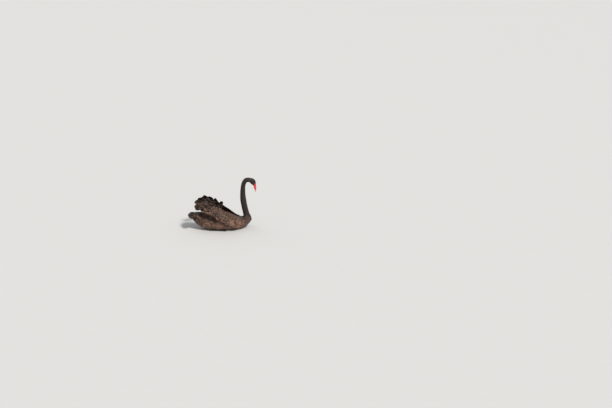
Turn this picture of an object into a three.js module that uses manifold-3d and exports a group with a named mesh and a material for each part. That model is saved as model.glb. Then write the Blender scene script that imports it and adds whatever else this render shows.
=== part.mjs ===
// A life-size, still black swan, as it floats: it sits on its belly with the feet tucked under, the wings are
// half raised so that their curled plumes stand over the back, and the neck arches until the bill points down.
// Millimetres, +Z up. The bird faces -Y and its left side is +X. The origin is on the floor under its middle.

import * as THREE from "three";
import { mergeVertices } from "three/addons/utils/BufferGeometryUtils.js";
import Module from "manifold-3d";

const wasm = await Module();
wasm.setup();

// Driving sizes. "Ahead" is towards the bill, "aside" away from the middle plane, "up" above the floor.
const DRAUGHT = 72; // from the flat of the belly to the line where the bird floats
const GAP = 0.35; // left between solids that meet
const TRUNK = { rear: -304, front: 302, beam: 147, flat: 2.5 };
const HEAD = { ahead: 317, up: DRAUGHT + 414, pitch: -58, back: 42, face: 44, crown: 30, throat: 27, cheek: 25 };
const BILL = { length: 73, pitch: -81, width: 26, overlap: 7 };
const EYE = { radius: 6.2, ahead: 17, up: 8, shows: 1 };
const TAIL = { root: -215, tip: -357, up: DRAUGHT + 85, feathers: 8, spread: 27, width: 42, thickness: 3.4 };
const TAIL_WEDGE = { aside: 66, thick: 30, thin: 9, lift: -8 };
const WING = { shoulder: 205, tip: -240, thickness: 13 };
const PLUMES = { count: 9, width: 52, thickness: 3.2, wave: 3.4 };
const STANDING = { across: 1.16, heading: -14, pitch: [76, 58], curl: [-42, -66], length: 62, roll: -20 };
const DROOPING = { across: 1.08, heading: 38, pitch: [34, 22], curl: [-78, -78], length: 92, roll: 30 };
const PRIMARIES = { root: -50, tip: -236, aside: 112, up: DRAUGHT + 112, width: 42, thickness: 5, turn: 13, roll: 58 };
const FOOT = { heel: -150, ankle: -62, aside: 98, toe: 112, spread: 15, web: 3.5, shank: 11, joint: 6.4 };

// Colours and finishes of the real bird
const plumage = new THREE.MeshStandardMaterial({ color: 0x2b2422, roughness: 0.8, metalness: 0 });
const sootyNeck = new THREE.MeshStandardMaterial({ color: 0x1f1b1a, roughness: 0.85, metalness: 0 });
const redHorn = new THREE.MeshStandardMaterial({ color: 0xb3201f, roughness: 0.35, metalness: 0 });
const redIris = new THREE.MeshStandardMaterial({ color: 0x7a1410, roughness: 0.1, metalness: 0 });
const whiteVane = new THREE.MeshStandardMaterial({ color: 0xe8e4da, roughness: 0.7, metalness: 0 });
const darkScales = new THREE.MeshStandardMaterial({ color: 0x26262a, roughness: 0.6, metalness: 0 });

const swan = new THREE.Group();
const { degToRad, lerp, clamp } = THREE.MathUtils;
const place = (aside, ahead, up) => new THREE.Vector3(aside, -ahead, up);

// A smooth curve through [place, value] stations: cubic pieces, each station's slope that of its neighbours' chord.
function profile(...stations) {
  const last = stations.length - 1;
  const slope = (i) => {
    const [before, after] = [stations[Math.max(i - 1, 0)], stations[Math.min(i + 1, last)]];
    return (after[1] - before[1]) / (after[0] - before[0]);
  };
  return (where) => {
    const i = clamp(stations.filter(([p]) => p <= where).length - 1, 0, last - 1);
    const span = stations[i + 1][0] - stations[i][0];
    const t = clamp((where - stations[i][0]) / span, 0, 1);
    const [t2, t3] = [t * t, t * t * t];
    return (
      (2 * t3 - 3 * t2 + 1) * stations[i][1] +
      (t3 - 2 * t2 + t) * span * slope(i) +
      (3 * t2 - 2 * t3) * stations[i + 1][1] +
      (t3 - t2) * span * slope(i + 1)
    );
  };
}

// A sign-keeping power, which turns a circle into a squarer or a leaner oval.
const oval = (value, power) => Math.sign(value) * Math.abs(value) ** power;

// Six times the volume inside a closed mesh, which is below zero when the mesh is inside out.
function signedVolume(points, corners) {
  const at = (corner) => new THREE.Vector3().fromArray(points, 3 * corner);
  let volume = 0;
  for (let i = 0; i < corners.length; i += 3) {
    volume += at(corners[i]).dot(at(corners[i + 1]).cross(at(corners[i + 2])));
  }
  return volume;
}

// Turns a geometry with a function of its points into the wanted shape, as a solid with its faces outwards.
function solidFrom(geometry, shape) {
  geometry.deleteAttribute("normal");
  geometry.deleteAttribute("uv");
  const points = geometry.getAttribute("position");
  const point = new THREE.Vector3();
  for (let i = 0; i < points.count; i += 1) {
    point.fromBufferAttribute(points, i);
    points.setXYZ(i, ...shape(point).toArray());
  }
  const merged = mergeVertices(geometry, 1e-3);
  const vertProperties = merged.getAttribute("position").array;
  const triVerts = new Uint32Array(merged.index.array);
  if (signedVolume(vertProperties, triVerts) < 0) triVerts.reverse();
  return new wasm.Manifold(new wasm.Mesh({ numProp: 3, vertProperties, triVerts }));
}

// A closed body of rings: shape(t, angle) gives the point at t from 0 to 1 along it and at an angle round it.
function ringed(around, along, shape) {
  return solidFrom(new THREE.SphereGeometry(1, around, along), (unit) => {
    const t = Math.acos(clamp(unit.y, -1, 1)) / Math.PI;
    return shape(t, Math.atan2(unit.z, unit.x));
  });
}

// A thin blade: shape(across, along, side) with across and side from -1 to 1 and along from 0 to 1.
function blade(across, along, shape) {
  return solidFrom(new THREE.BoxGeometry(2, 1, 2, across, along, 1), (unit) =>
    shape(unit.x, unit.y + 0.5, unit.z),
  );
}

const boxFrom = (low, high) => {
  const size = new THREE.Vector3().subVectors(high, low);
  const middle = new THREE.Vector3().addVectors(low, high).multiplyScalar(0.5);
  return solidFrom(new THREE.BoxGeometry(...size.toArray()), (point) => point.add(middle));
};

const mirrored = (shape) => (...at) => shape(...at).multiply(new THREE.Vector3(-1, 1, 1));
const floorBlock = boxFrom(place(-400, -500, -60), place(400, 500, 0));

// The largest piece of a solid, which drops slivers that a cut leaves.
function largest(solid) {
  return solid.decompose().sort((a, b) => b.volume() - a.volume())[0];
}

function addPart(name, solid, material) {
  const kept = largest(solid);
  const mesh = kept.getMesh();
  const geometry = new THREE.BufferGeometry();
  geometry.setAttribute("position", new THREE.BufferAttribute(mesh.vertProperties, 3));
  geometry.setIndex(new THREE.BufferAttribute(mesh.triVerts, 1));
  geometry.computeVertexNormals();
  const part = new THREE.Mesh(geometry, material);
  part.name = name;
  swan.add(part);
}

// Trunk: oval rings round a spine that rises towards the rump, fuller below, with the belly cut flat. In front
// the rings grow a ridge on top, where the breast runs up into the neck.
const trunkSpine = profile([-304, 54], [-200, 32], [-100, 18], [60, 7], [200, 4], [265, 14], [302, 24]);
const trunkRise = profile([-304, 70], [-190, 82], [-60, 92], [60, 72], [140, 30], [190, 20], [255, 74], [302, 86]);
const trunkDrop = profile([-304, 112], [-200, 112], [-80, 96], [80, 86], [200, 90], [302, 90]);
const trunkWidth = profile([-304, 0.74], [-120, 0.93], [60, 1.0], [170, 0.99], [235, 0.84], [275, 0.67], [302, 0.54]);
const trunkRidge = profile([-304, 0.88], [90, 0.88], [190, 1.2], [260, 1.9], [302, 1.9]);

function trunkSolid(grow) {
  const half = (TRUNK.front - TRUNK.rear) / 2;
  const middle = (TRUNK.front + TRUNK.rear) / 2;
  return ringed(26, 20, (t, angle) => {
    const turn = Math.PI * t;
    const ahead = middle - (half + grow) * Math.cos(turn);
    const swell = Math.sin(turn) ** (ahead > 0 ? 0.66 : 0.84);
    const swellUp = Math.sin(turn) ** (ahead > 0 ? 0.42 : 0.84);
    const coat = grow * Math.sqrt(swell);
    const high = Math.sin(angle);
    const above = high > 0;
    const lift = (above ? trunkRise(ahead) * swellUp : trunkDrop(ahead) * swell) + coat;
    const side = oval(Math.cos(angle), above ? trunkRidge(ahead) : 0.88);
    const rise = oval(high, above ? 0.95 : 2 / TRUNK.flat);
    const aside = side * (trunkWidth(ahead) * TRUNK.beam * swell + coat);
    return place(aside, ahead, DRAUGHT + trunkSpine(ahead) + rise * lift);
  });
}

// Neck: a tube along three bends that leaves the breast, leans back, and hooks over to the head.
const inMiddle = ([ahead, high]) => place(0, ahead, DRAUGHT + high);
const bend = (...points) => new THREE.CubicBezierCurve3(...points.map(inMiddle));
const neckLine = new THREE.CurvePath();
neckLine.add(bend([262, 0], [246, 90], [216, 180], [216, 285]));
neckLine.add(bend([216, 285], [216, 350], [220, 432], [268, 435]));
neckLine.add(bend([268, 435], [284, 436], [302, 429], [HEAD.ahead, HEAD.up - DRAUGHT]));
const neckRadius = profile([0, 48], [0.08, 38], [0.15, 35.5], [0.35, 34], [0.54, 29], [0.75, 24], [0.87, 24.5], [1, 24]);

function neckSolid(from, to, rings) {
  return solidFrom(new THREE.CylinderGeometry(1, 1, 1, 14, rings), (unit) => {
    const t = lerp(from, to, 0.5 - unit.y);
    const [centre, run] = [neckLine.getPointAt(t), neckLine.getTangentAt(t)];
    const outward = new THREE.Vector3().crossVectors(run, new THREE.Vector3(1, 0, 0)).normalize();
    const radius = neckRadius(t);
    return centre
      .addScaledVector(new THREE.Vector3(1, 0, 0), unit.z * radius * 0.94)
      .addScaledVector(outward, unit.x * radius);
  });
}

// A frame in the middle plane: along its pitch, and square to it towards the crown.
function pitched(ahead, up, pitch) {
  const [c, s] = [Math.cos(degToRad(pitch)), Math.sin(degToRad(pitch))];
  return (aside, along, rise) => place(aside, ahead + along * c - rise * s, up + along * s + rise * c);
}
const inHead = pitched(HEAD.ahead, HEAD.up, HEAD.pitch);

// Head: rings from the nape to the face, with a domed crown, full cheeks and a sloping forehead.
const crown = profile([-42, 0.82], [-15, 0.98], [5, 1.04], [24, 0.98], [44, 0.72]);
const throat = profile([-42, 1.0], [-15, 1.02], [10, 0.98], [44, 0.78]);
const cheek = profile([-42, 0.92], [-10, 0.98], [10, 1.04], [28, 0.9], [44, 0.7]);

function headSolid(grow) {
  return ringed(16, 13, (t, angle) => {
    const turn = Math.PI * t;
    const along = lerp(-HEAD.back - grow, HEAD.face + grow, (1 - Math.cos(turn)) / 2);
    const swell = Math.sin(turn) ** (along > 0 ? 0.64 : 0.78);
    const high = Math.sin(angle);
    const tall = high > 0 ? crown(along) * HEAD.crown : throat(along) * HEAD.throat;
    const wide = cheek(along) * HEAD.cheek;
    const coat = grow * Math.sqrt(swell);
    return inHead(Math.cos(angle) * (wide * swell + coat), along, high * (tall * swell + coat));
  });
}

// Bill: the upper half has the sloping ridge and the hooked nail, the lower half is a shallow trough under it.
const billRoot = inHead(0, HEAD.face - BILL.overlap, 3);
const inBill = pitched(-billRoot.y, billRoot.z, BILL.pitch);
const ridge = profile([0, 20], [0.25, 16.2], [0.5, 12.6], [0.8, 9.5], [1, 7.5]);
const billWidth = profile([0, 0.86], [0.3, 0.9], [0.6, 0.97], [0.85, 1.0], [1, 0.9]);
const billEdge = profile([0, -3.5], [0.35, -2.6], [0.7, -3.2], [1, -4.6]);
const billFloor = profile([0, 13], [0.3, 11.5], [0.7, 8.5], [1, 5.5]);
const BILL_REACH = BILL.length + BILL.overlap;

function billHalf(upper, grow) {
  const length = upper ? BILL_REACH : BILL_REACH - 6;
  return ringed(upper ? 14 : 12, upper ? 12 : 8, (t, angle) => {
    const part = (1 - Math.cos(Math.PI * t)) / 2;
    const swell = Math.sin(Math.PI * t) ** (part < 0.5 ? 0.3 : 0.62);
    const wide = ((billWidth(part) * BILL.width) / 2) * (upper ? 1 : 0.86) + grow;
    const high = Math.sin(angle);
    const outer = upper ? ridge(part) : billFloor(part);
    const bulge = (upper === high > 0 ? outer : 0.4) + grow;
    const hook = upper ? 18 * Math.max(0, part - 0.86) : 0;
    const rise = billEdge(part) - hook + oval(high, 0.9) * bulge * swell;
    return inBill(oval(Math.cos(angle), 0.8) * wide * swell, part * (length + grow), rise);
  });
}

function eyeSolid(side, grow) {
  const sideReach = cheek(EYE.ahead) * HEAD.cheek * 0.93;
  const centre = inHead(side * (sideReach - EYE.radius + EYE.shows), EYE.ahead, EYE.up);
  return solidFrom(new THREE.SphereGeometry(EYE.radius + grow, 10, 7), (point) => point.add(centre));
}

// Wing: a leaf-shaped pad from the shoulder to the raised rear, leaning in over the back and bulged outwards.
const wingAhead = profile([0, WING.shoulder], [0.2, 140], [0.4, 60], [0.6, -40], [0.8, -142], [1, WING.tip]);
const wingAside = profile([0, 84], [0.2, 116], [0.4, 122], [0.6, 114], [0.8, 90], [1, 58]);
const wingUp = profile([0, -6], [0.2, 8], [0.4, 62], [0.6, 130], [0.8, 176], [1, 192]);
const wingSpan = profile([0, 24], [0.2, 42], [0.4, 56], [0.6, 62], [0.8, 54], [1, 34]);
const wingLean = profile([0, 22], [0.4, 40], [0.7, 40], [1, 30]);

function wingPoint(t, across, out) {
  const lean = degToRad(wingLean(t));
  const taper = Math.sqrt(Math.max(0, 4 * t * (1 - t))) ** 0.6;
  const reach = across * wingSpan(t) * taper;
  const bulged = (14 * (1 - across * across) + out) * taper;
  return place(
    wingAside(t) - reach * Math.sin(lean) + bulged * Math.cos(lean),
    wingAhead(t),
    DRAUGHT + wingUp(t) + reach * Math.cos(lean) + bulged * Math.sin(lean),
  );
}

function wingSolid(side, grow) {
  const shape = (t, angle) => {
    const part = (1 - Math.cos(Math.PI * t)) / 2;
    const thick = WING.thickness * (1 - 0.45 * part) + grow;
    return wingPoint(part, oval(Math.cos(angle), 0.9) * (1 + grow / 60), Math.sin(angle) * thick);
  };
  return ringed(16, 13, side > 0 ? shape : mirrored(shape));
}

// A feather: it leaves its root at a heading and a pitch, and curls as it goes.
// Its two edges wave against each other, and it is cambered across.
function featherSolid({ root, heading, pitch, curl, length, width, thickness, roll = 0, wave = 0, cells = 5 }) {
  const steps = 24;
  const spine = [root.clone()];
  const runs = [];
  for (let i = 0; i <= steps; i += 1) {
    const tilt = degToRad(pitch + (curl * i) / steps);
    const turn = degToRad(heading);
    const flat = Math.cos(tilt);
    const run = place(Math.sin(turn) * flat, Math.cos(turn) * flat, Math.sin(tilt));
    runs.push(run);
    spine.push(spine[i].clone().addScaledVector(run, length / steps));
  }
  return blade(2, cells, (across, along, side) => {
    const i = Math.min(steps, Math.round(along * steps));
    const run = runs[i];
    const level = new THREE.Vector3().crossVectors(run, new THREE.Vector3(0, 0, 1)).normalize();
    const sideways = level.applyAxisAngle(run, degToRad(roll));
    const face = new THREE.Vector3().crossVectors(sideways, run).normalize();
    const spread = Math.sin(Math.PI * clamp(0.12 + 0.8 * along, 0, 1)) ** 0.55;
    const ripple = wave * Math.sin(along * 9 + across * 1.6) * Math.abs(across);
    const camber = -width * 0.1 * across * across;
    const thick = thickness * (1 - 0.6 * along) * (1 - 0.45 * across * across);
    return spine[i]
      .clone()
      .addScaledVector(sideways, (across * width * spread) / 2)
      .addScaledVector(face, camber + ripple + (side * thick) / 2);
  });
}

const union = (solids) => solids.reduce((whole, solid) => whole.add(solid));

// Plumes: the curled inner flight feathers and long shoulder feathers. They grow from a strip along the wing's
// upper rear edge, in turn standing up and drooping over the outer side.
function plumesSolid(side) {
  const feathers = [];
  for (let i = 0; i < PLUMES.count; i += 1) {
    const f = i / (PLUMES.count - 1);
    const kind = i % 2 === 1 ? DROOPING : STANDING;
    const root = wingPoint(lerp(0.56, 0.94, f), kind.across, 0);
    root.x *= side;
    const fullness = 0.82 + 0.26 * Math.sin(Math.PI * f);
    feathers.push(
      featherSolid({
        root,
        heading: 180 - side * kind.heading,
        pitch: lerp(...kind.pitch, f),
        curl: lerp(...kind.curl, f),
        length: kind.length * fullness,
        width: PLUMES.width,
        thickness: PLUMES.thickness,
        roll: side * kind.roll,
        wave: PLUMES.wave,
        cells: 4,
      }),
    );
  }
  const band = blade(1, 6, (across, along, face) => {
    const point = wingPoint(lerp(0.53, 0.96, along), 1.14 + 0.2 * across, 2 * face);
    return point.multiply(new THREE.Vector3(side, 1, 1));
  });
  return union([band, ...feathers]);
}

// Primaries: the folded white flight feathers, a slim pointed bundle inside the raised wing.
function primariesSolid(side) {
  return featherSolid({
    root: place(side * PRIMARIES.aside, PRIMARIES.root, PRIMARIES.up),
    heading: 180 + side * PRIMARIES.turn,
    pitch: 13,
    curl: 2,
    length: PRIMARIES.root - PRIMARIES.tip,
    width: PRIMARIES.width,
    thickness: PRIMARIES.thickness,
    roll: side * PRIMARIES.roll,
  });
}

// Tail: a fan of broad feathers on a wedge of tail coverts.
const TAIL_RUN = TAIL.root - TAIL.tip;
function tailSolid() {
  const wedge = ringed(12, 7, (t, angle) => {
    const part = (1 - Math.cos(Math.PI * t)) / 2;
    const swell = Math.sin(Math.PI * t);
    const ahead = lerp(TAIL.root + 30, TAIL.tip + 34, part);
    const high = Math.sin(angle) * lerp(TAIL_WEDGE.thick, TAIL_WEDGE.thin, part) * swell;
    const middle = TAIL.up + TAIL_WEDGE.lift + lerp(4, -2, part);
    return place(Math.cos(angle) * TAIL_WEDGE.aside * swell, ahead, middle + high);
  });
  const feathers = [];
  for (let i = 0; i < TAIL.feathers; i += 1) {
    const f = (2 * i) / (TAIL.feathers - 1) - 1;
    feathers.push(
      featherSolid({
        root: place(f * 26, TAIL.root, TAIL.up + 4 - 3 * Math.abs(f)),
        heading: 180 - f * TAIL.spread,
        pitch: -2.5,
        curl: -2,
        length: TAIL_RUN * (1 - 0.1 * f * f),
        width: TAIL.width,
        thickness: TAIL.thickness,
        roll: f * 8,
        cells: 4,
      }),
    );
  }
  return union([wedge, ...feathers]);
}

// Leg: the shank lies along the floor, and its heel end turns up into the flank.
function legSolid(side) {
  const line = new THREE.QuadraticBezierCurve3(
    place(side * (FOOT.aside - 22), FOOT.heel + 34, 40),
    place(side * (FOOT.aside - 6), FOOT.heel - 22, 4),
    place(side * FOOT.aside, FOOT.ankle - 4, 5.5),
  );
  return solidFrom(new THREE.CylinderGeometry(1, 1, 1, 10, 8), (unit) => {
    const t = 0.5 - unit.y;
    const [centre, run] = [line.getPointAt(t), line.getTangentAt(t)];
    const level = new THREE.Vector3().crossVectors(run, new THREE.Vector3(0, 0, 1)).normalize();
    const rise = new THREE.Vector3().crossVectors(level, run).normalize();
    const radius = lerp(FOOT.shank, FOOT.joint, Math.min(1, t * 1.7)) + (t > 0.9 ? 0.8 : 0);
    return centre.addScaledVector(level, unit.x * radius * 0.9).addScaledVector(rise, unit.z * radius);
  }).subtract(floorBlock);
}

// Foot: three front toes with claws, and a web between them.
function footSolid(side) {
  const ankle = place(side * FOOT.aside, FOOT.ankle, 4);
  const toes = [-1, 0, 1].map((step) => {
    const turn = degToRad(step * FOOT.spread);
    const length = FOOT.toe * (step === 0 ? 1 : 0.9);
    const tip = place(Math.sin(-turn) * length, Math.cos(turn) * length, 0).add(ankle);
    return { tip, run: new THREE.Vector3().subVectors(tip, ankle).normalize() };
  });
  const toeSolids = toes.map(({ tip, run }) => {
    const level = new THREE.Vector3(-run.y, run.x, 0);
    return solidFrom(new THREE.CylinderGeometry(1, 1, 1, 7, 5), (unit) => {
      const t = 0.5 - unit.y;
      const radius = t > 0.9 ? lerp(4.2, 0.8, (t - 0.9) / 0.1) : lerp(6.2, 4.2, t) + 0.5 * Math.cos(t * 19);
      return new THREE.Vector3()
        .lerpVectors(ankle, tip, t)
        .addScaledVector(level, unit.x * radius)
        .add(new THREE.Vector3(0, 0, unit.z * radius * 0.92));
    });
  });
  const web = new THREE.Shape();
  const outline = [ankle, toes[0].tip, toes[1].tip, toes[2].tip].map((p) => new THREE.Vector2(p.x, p.y));
  const inset = (from, to) => new THREE.Vector2().lerpVectors(outline[0], from.clone().lerp(to, 0.5), 0.86);
  web.moveTo(outline[0].x, outline[0].y);
  const tips = outline.slice(1).map((p) => new THREE.Vector2().lerpVectors(outline[0], p, 0.93));
  web.lineTo(tips[0].x, tips[0].y);
  web.quadraticCurveTo(...inset(tips[0], tips[1]).toArray(), tips[1].x, tips[1].y);
  web.quadraticCurveTo(...inset(tips[1], tips[2]).toArray(), tips[2].x, tips[2].y);
  web.closePath();
  const webSolid = solidFrom(
    new THREE.ExtrudeGeometry(web, { depth: FOOT.web + 1, bevelEnabled: false, curveSegments: 4 }),
    (point) => point.clone().add(new THREE.Vector3(0, 0, -1)),
  );
  return union([...toeSolids, webSolid]).subtract(floorBlock);
}

const trunk = trunkSolid(0).subtract(floorBlock);
const trunkRoom = trunkSolid(GAP);
const head = headSolid(0).subtract(eyeSolid(1, GAP)).subtract(eyeSolid(-1, GAP));
const headRoom = headSolid(GAP);
const NECK_CUTS = [0.36, 0.68];
const NECK_GAP = GAP / neckLine.getLength();

addPart("trunk", trunk, plumage);
addPart("head", head, sootyNeck);
addPart("neck_lower", neckSolid(0, NECK_CUTS[0], 8).subtract(trunkRoom), sootyNeck);
addPart("neck_middle", neckSolid(NECK_CUTS[0] + NECK_GAP, NECK_CUTS[1], 7), sootyNeck);
addPart("neck_upper", neckSolid(NECK_CUTS[1] + NECK_GAP, 1, 9).subtract(headRoom), sootyNeck);
addPart("bill_upper", billHalf(true, 0).subtract(headRoom), redHorn);
addPart("bill_lower", billHalf(false, 0).subtract(billHalf(true, GAP)).subtract(headRoom), redHorn);

const tail = tailSolid().subtract(trunkRoom);
addPart("tail", tail, plumage);

for (const [side, word] of [
  [1, "left"],
  [-1, "right"],
]) {
  const wingRoom = wingSolid(side, GAP);
  const plumes = plumesSolid(side).subtract(trunkRoom).subtract(wingRoom);
  addPart(`eye_${word}`, eyeSolid(side, 0), redIris);
  addPart(`wing_${word}`, wingSolid(side, 0).subtract(trunkRoom), plumage);
  addPart(`plumes_${word}`, plumes, plumage);
  addPart(`primaries_${word}`, primariesSolid(side).subtract(trunkRoom).subtract(wingRoom), whiteVane);
  const leg = legSolid(side).subtract(trunkRoom);
  addPart(`leg_${word}`, leg, darkScales);
  addPart(`foot_${word}`, footSolid(side).subtract(trunkRoom), darkScales);
}

export default swan;
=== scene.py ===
"""A black swan at rest on its belly, life-size: one skin, a coat of solid vanes, and a red bill."""
import math

import bmesh
import bpy
import numpy as np
from bpy.props import FloatProperty, FloatVectorProperty, IntProperty, PointerProperty
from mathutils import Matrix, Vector
from mathutils.bvhtree import BVHTree


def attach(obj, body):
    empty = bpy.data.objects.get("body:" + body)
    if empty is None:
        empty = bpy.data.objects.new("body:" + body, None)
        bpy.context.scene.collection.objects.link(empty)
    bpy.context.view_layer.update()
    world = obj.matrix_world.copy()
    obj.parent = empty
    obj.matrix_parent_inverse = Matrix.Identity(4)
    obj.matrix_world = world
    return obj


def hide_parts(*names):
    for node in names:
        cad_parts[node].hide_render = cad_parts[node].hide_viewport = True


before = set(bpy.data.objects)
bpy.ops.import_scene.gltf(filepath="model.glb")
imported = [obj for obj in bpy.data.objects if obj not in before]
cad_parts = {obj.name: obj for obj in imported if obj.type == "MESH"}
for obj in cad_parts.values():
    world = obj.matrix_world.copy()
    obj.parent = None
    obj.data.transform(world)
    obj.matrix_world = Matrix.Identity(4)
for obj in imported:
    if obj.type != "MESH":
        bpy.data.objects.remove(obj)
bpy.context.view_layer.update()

bl_info = {
    "name": "Black swan",
    "version": (1, 0, 0),
    "blender": (4, 5, 0),
    "location": "View3D > Sidebar > Swan",
    "description": "Builds a life-size black swan round its packed solids",
    "category": "Add Mesh",
}

# The solids' own sizes in millimetres: ahead towards the bill, aside from the middle plane, up from the floor
MM = 0.001
TURN = 2 * math.pi
DRAUGHT = 72.0
TRUNK = {"rear": -304.0, "front": 302.0, "beam": 147.0, "flat": 2.5}
# How blunt the trunk's ends are: powers of the sine that swells its rings
BLUNT = {"front": 0.66, "front_above": 0.42, "rear": 0.84}
HEAD = {"ahead": 317.0, "up": DRAUGHT + 414, "pitch": -58.0, "back": 42.0, "face": 44.0}
HEAD_HALF = {"crown": 30.0, "throat": 27.0, "cheek": 25.0}
BILL = {"length": 73.0, "pitch": -81.0, "width": 26.0, "overlap": 7.0}
EYE = {"radius": 6.2, "ahead": 17.0, "up": 8.0, "shows": 1.0}
LID = {"opening": 4.75, "rim": 5.5, "height": 0.6}
TAIL = {"root": -215.0, "tip": -357.0, "up": DRAUGHT + 85}
WING = {"thickness": 13.0, "thinning": 0.45, "bulge": 14.0}
PRIMARIES = {"count": 9, "length": 232.0, "width": 25.0, "ahead": -8.0, "aside": 135.0, "up": DRAUGHT + 99}
FOOT = {"heel": -150.0, "ankle": -62.0, "aside": 98.0, "toe": 112.0, "spread": 15.0}
SIDES = ((1, "left"), (-1, "right"))
REGIONS = {"trunk": 0, "neck": 1, "head": 2, "wing_left": 3, "wing_right": 4, "tail": 5}
BAKE_PATCH = 0.003
# How deep the skin lies under the solids' surfaces, in millimetres, which is the depth of the coat
DEPTH = {"trunk": 4.0, "neck": 1.6, "head": 0.9, "wing": 2.6, "tail": 3.0, "web": 2.0}
# How high over the floor each kind of piece is cut flat, in millimetres
CLEAR = {"skin": 1.2, "coat": 0.4, "foot": 0.3}

FLOOR_REACH = 300.0
# The picture's frame, and the place in it where the bird's middle stands
FRAME_WIDTH, FRAME_HEIGHT = 612, 408
BIRD_PIXEL = (221.8, 199.9)
LENS, SENSOR = 50.0, 36.0
CAMERA_DISTANCE, CAMERA_ELEVATION = 8.75, 18.0


def place(aside, ahead, up):
    """Points in metres in the model's frame, from millimetres aside, ahead and up."""
    return np.stack(np.broadcast_arrays(aside, -np.asarray(ahead, float), up), -1).astype(float) * MM


def unit(vectors):
    """Each vector divided by its own length."""
    return vectors / np.maximum(np.linalg.norm(vectors, axis=-1, keepdims=True), 1e-12)


def smooth(low, high, values):
    """Zero below low, one above high, and three times the square less twice the cube of the share between."""
    t = np.clip((np.asarray(values, float) - low) / (high - low), 0, 1)
    return t * t * (3 - 2 * t)


def mix(first, second, share):
    """First and second blended by the share of second."""
    return first + (second - first) * share


def oval(values, power):
    """The size of each value to a power, with its sign kept, which makes a circle squarer or leaner."""
    return np.sign(values) * np.abs(values) ** power


def profile(*stations):
    """A smooth curve through stations of place and value: cubics with their neighbours' chords as slopes."""
    places, values = np.array(stations, float).T
    before = np.maximum(np.arange(len(places)) - 1, 0)
    after = np.minimum(np.arange(len(places)) + 1, len(places) - 1)
    slopes = (values[after] - values[before]) / (places[after] - places[before])

    def curve(where):
        where = np.asarray(where, float)
        i = np.clip(np.searchsorted(places, where, side="right") - 1, 0, len(places) - 2)
        span = places[i + 1] - places[i]
        t = np.clip((where - places[i]) / span, 0, 1)
        start = (2 * t**3 - 3 * t**2 + 1) * values[i] + (t**3 - 2 * t**2 + t) * span * slopes[i]
        return start + (3 * t**2 - 2 * t**3) * values[i + 1] + (t**3 - t**2) * span * slopes[i + 1]

    return curve


# The shapes of the flesh, with the same stations as the solids
trunk_spine = profile((-304, 54), (-200, 32), (-100, 18), (60, 7), (200, 4), (265, 14), (302, 24))
trunk_rise = profile(
    (-304, 70), (-190, 82), (-60, 92), (60, 72), (140, 30), (190, 20), (255, 74), (302, 86)
)
trunk_drop = profile((-304, 112), (-200, 112), (-80, 96), (80, 86), (200, 90), (302, 90))
trunk_width = profile(
    (-304, 0.74), (-120, 0.93), (60, 1.0), (170, 0.99), (235, 0.84), (275, 0.67), (302, 0.54)
)
trunk_ridge = profile((-304, 0.88), (90, 0.88), (190, 1.2), (260, 1.9), (302, 1.9))
neck_radius = profile(
    (0, 48), (0.08, 38), (0.15, 35.5), (0.35, 34), (0.54, 29), (0.75, 24), (0.87, 24.5), (1, 24)
)
NECK_FLATNESS = 0.94
crown = profile((-42, 0.82), (-15, 0.98), (5, 1.04), (24, 0.98), (44, 0.72))
throat = profile((-42, 1.0), (-15, 1.02), (10, 0.98), (44, 0.78))
cheek = profile((-42, 0.92), (-10, 0.98), (10, 1.04), (28, 0.9), (44, 0.7))
wing_ahead = profile((0, 205), (0.2, 140), (0.4, 60), (0.6, -40), (0.8, -142), (1, -240))
wing_aside = profile((0, 84), (0.2, 116), (0.4, 122), (0.6, 114), (0.8, 90), (1, 58))
wing_up = profile((0, -6), (0.2, 8), (0.4, 62), (0.6, 130), (0.8, 176), (1, 192))
wing_span = profile((0, 24), (0.2, 42), (0.4, 56), (0.6, 62), (0.8, 54), (1, 34))
wing_lean = profile((0, 22), (0.4, 40), (0.7, 40), (1, 30))


def trunk_surface(t, angle, depth):
    """Oval rings from rump to breast round a rising spine, squarer below and ridged in front.

    Like every surface of flesh here it is drawn in by depth, in millimetres."""
    half, middle = (TRUNK["front"] - TRUNK["rear"]) / 2, (TRUNK["front"] + TRUNK["rear"]) / 2
    ahead = middle - (half - depth) * np.cos(np.pi * t)
    ring = np.clip(np.sin(np.pi * t), 0, 1)
    swell = ring ** np.where(ahead > 0, BLUNT["front"], BLUNT["rear"])
    swell_up = ring ** np.where(ahead > 0, BLUNT["front_above"], BLUNT["rear"])
    coat = depth * np.sqrt(swell)
    high = np.sin(angle)
    above = high > 0
    lift = np.where(above, trunk_rise(ahead) * swell_up, trunk_drop(ahead) * swell) - coat
    side = oval(np.cos(angle), np.where(above, trunk_ridge(ahead), 0.88))
    rise = oval(high, np.where(above, 0.95, 2 / TRUNK["flat"]))
    aside = side * (trunk_width(ahead) * TRUNK["beam"] * swell - coat)
    return place(aside, ahead, DRAUGHT + trunk_spine(ahead) + rise * np.maximum(lift, 0))


def cubic_bend(a, b, c, d):
    """Points of a cubic curve from a to d that leaves towards b and arrives from c."""
    t = np.linspace(0, 1, 160)[:, None]
    a, b, c, d = (np.array(p, float) for p in (a, b, c, d))
    return a * (1 - t) ** 3 + 3 * b * t * (1 - t) ** 2 + 3 * c * t**2 * (1 - t) + d * t**3


NECK_BENDS = (
    ((262, 0), (246, 90), (216, 180), (216, 285)),
    ((216, 285), (216, 350), (220, 432), (268, 435)),
    ((268, 435), (284, 436), (302, 429), (HEAD["ahead"], HEAD["up"] - DRAUGHT)),
)
neck_points = np.vstack([cubic_bend(*bend)[(i > 0) :] for i, bend in enumerate(NECK_BENDS)])
neck_steps = np.linalg.norm(np.diff(neck_points, axis=0), axis=1)
neck_share = np.concatenate([[0], np.cumsum(neck_steps)]) / neck_steps.sum()


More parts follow.
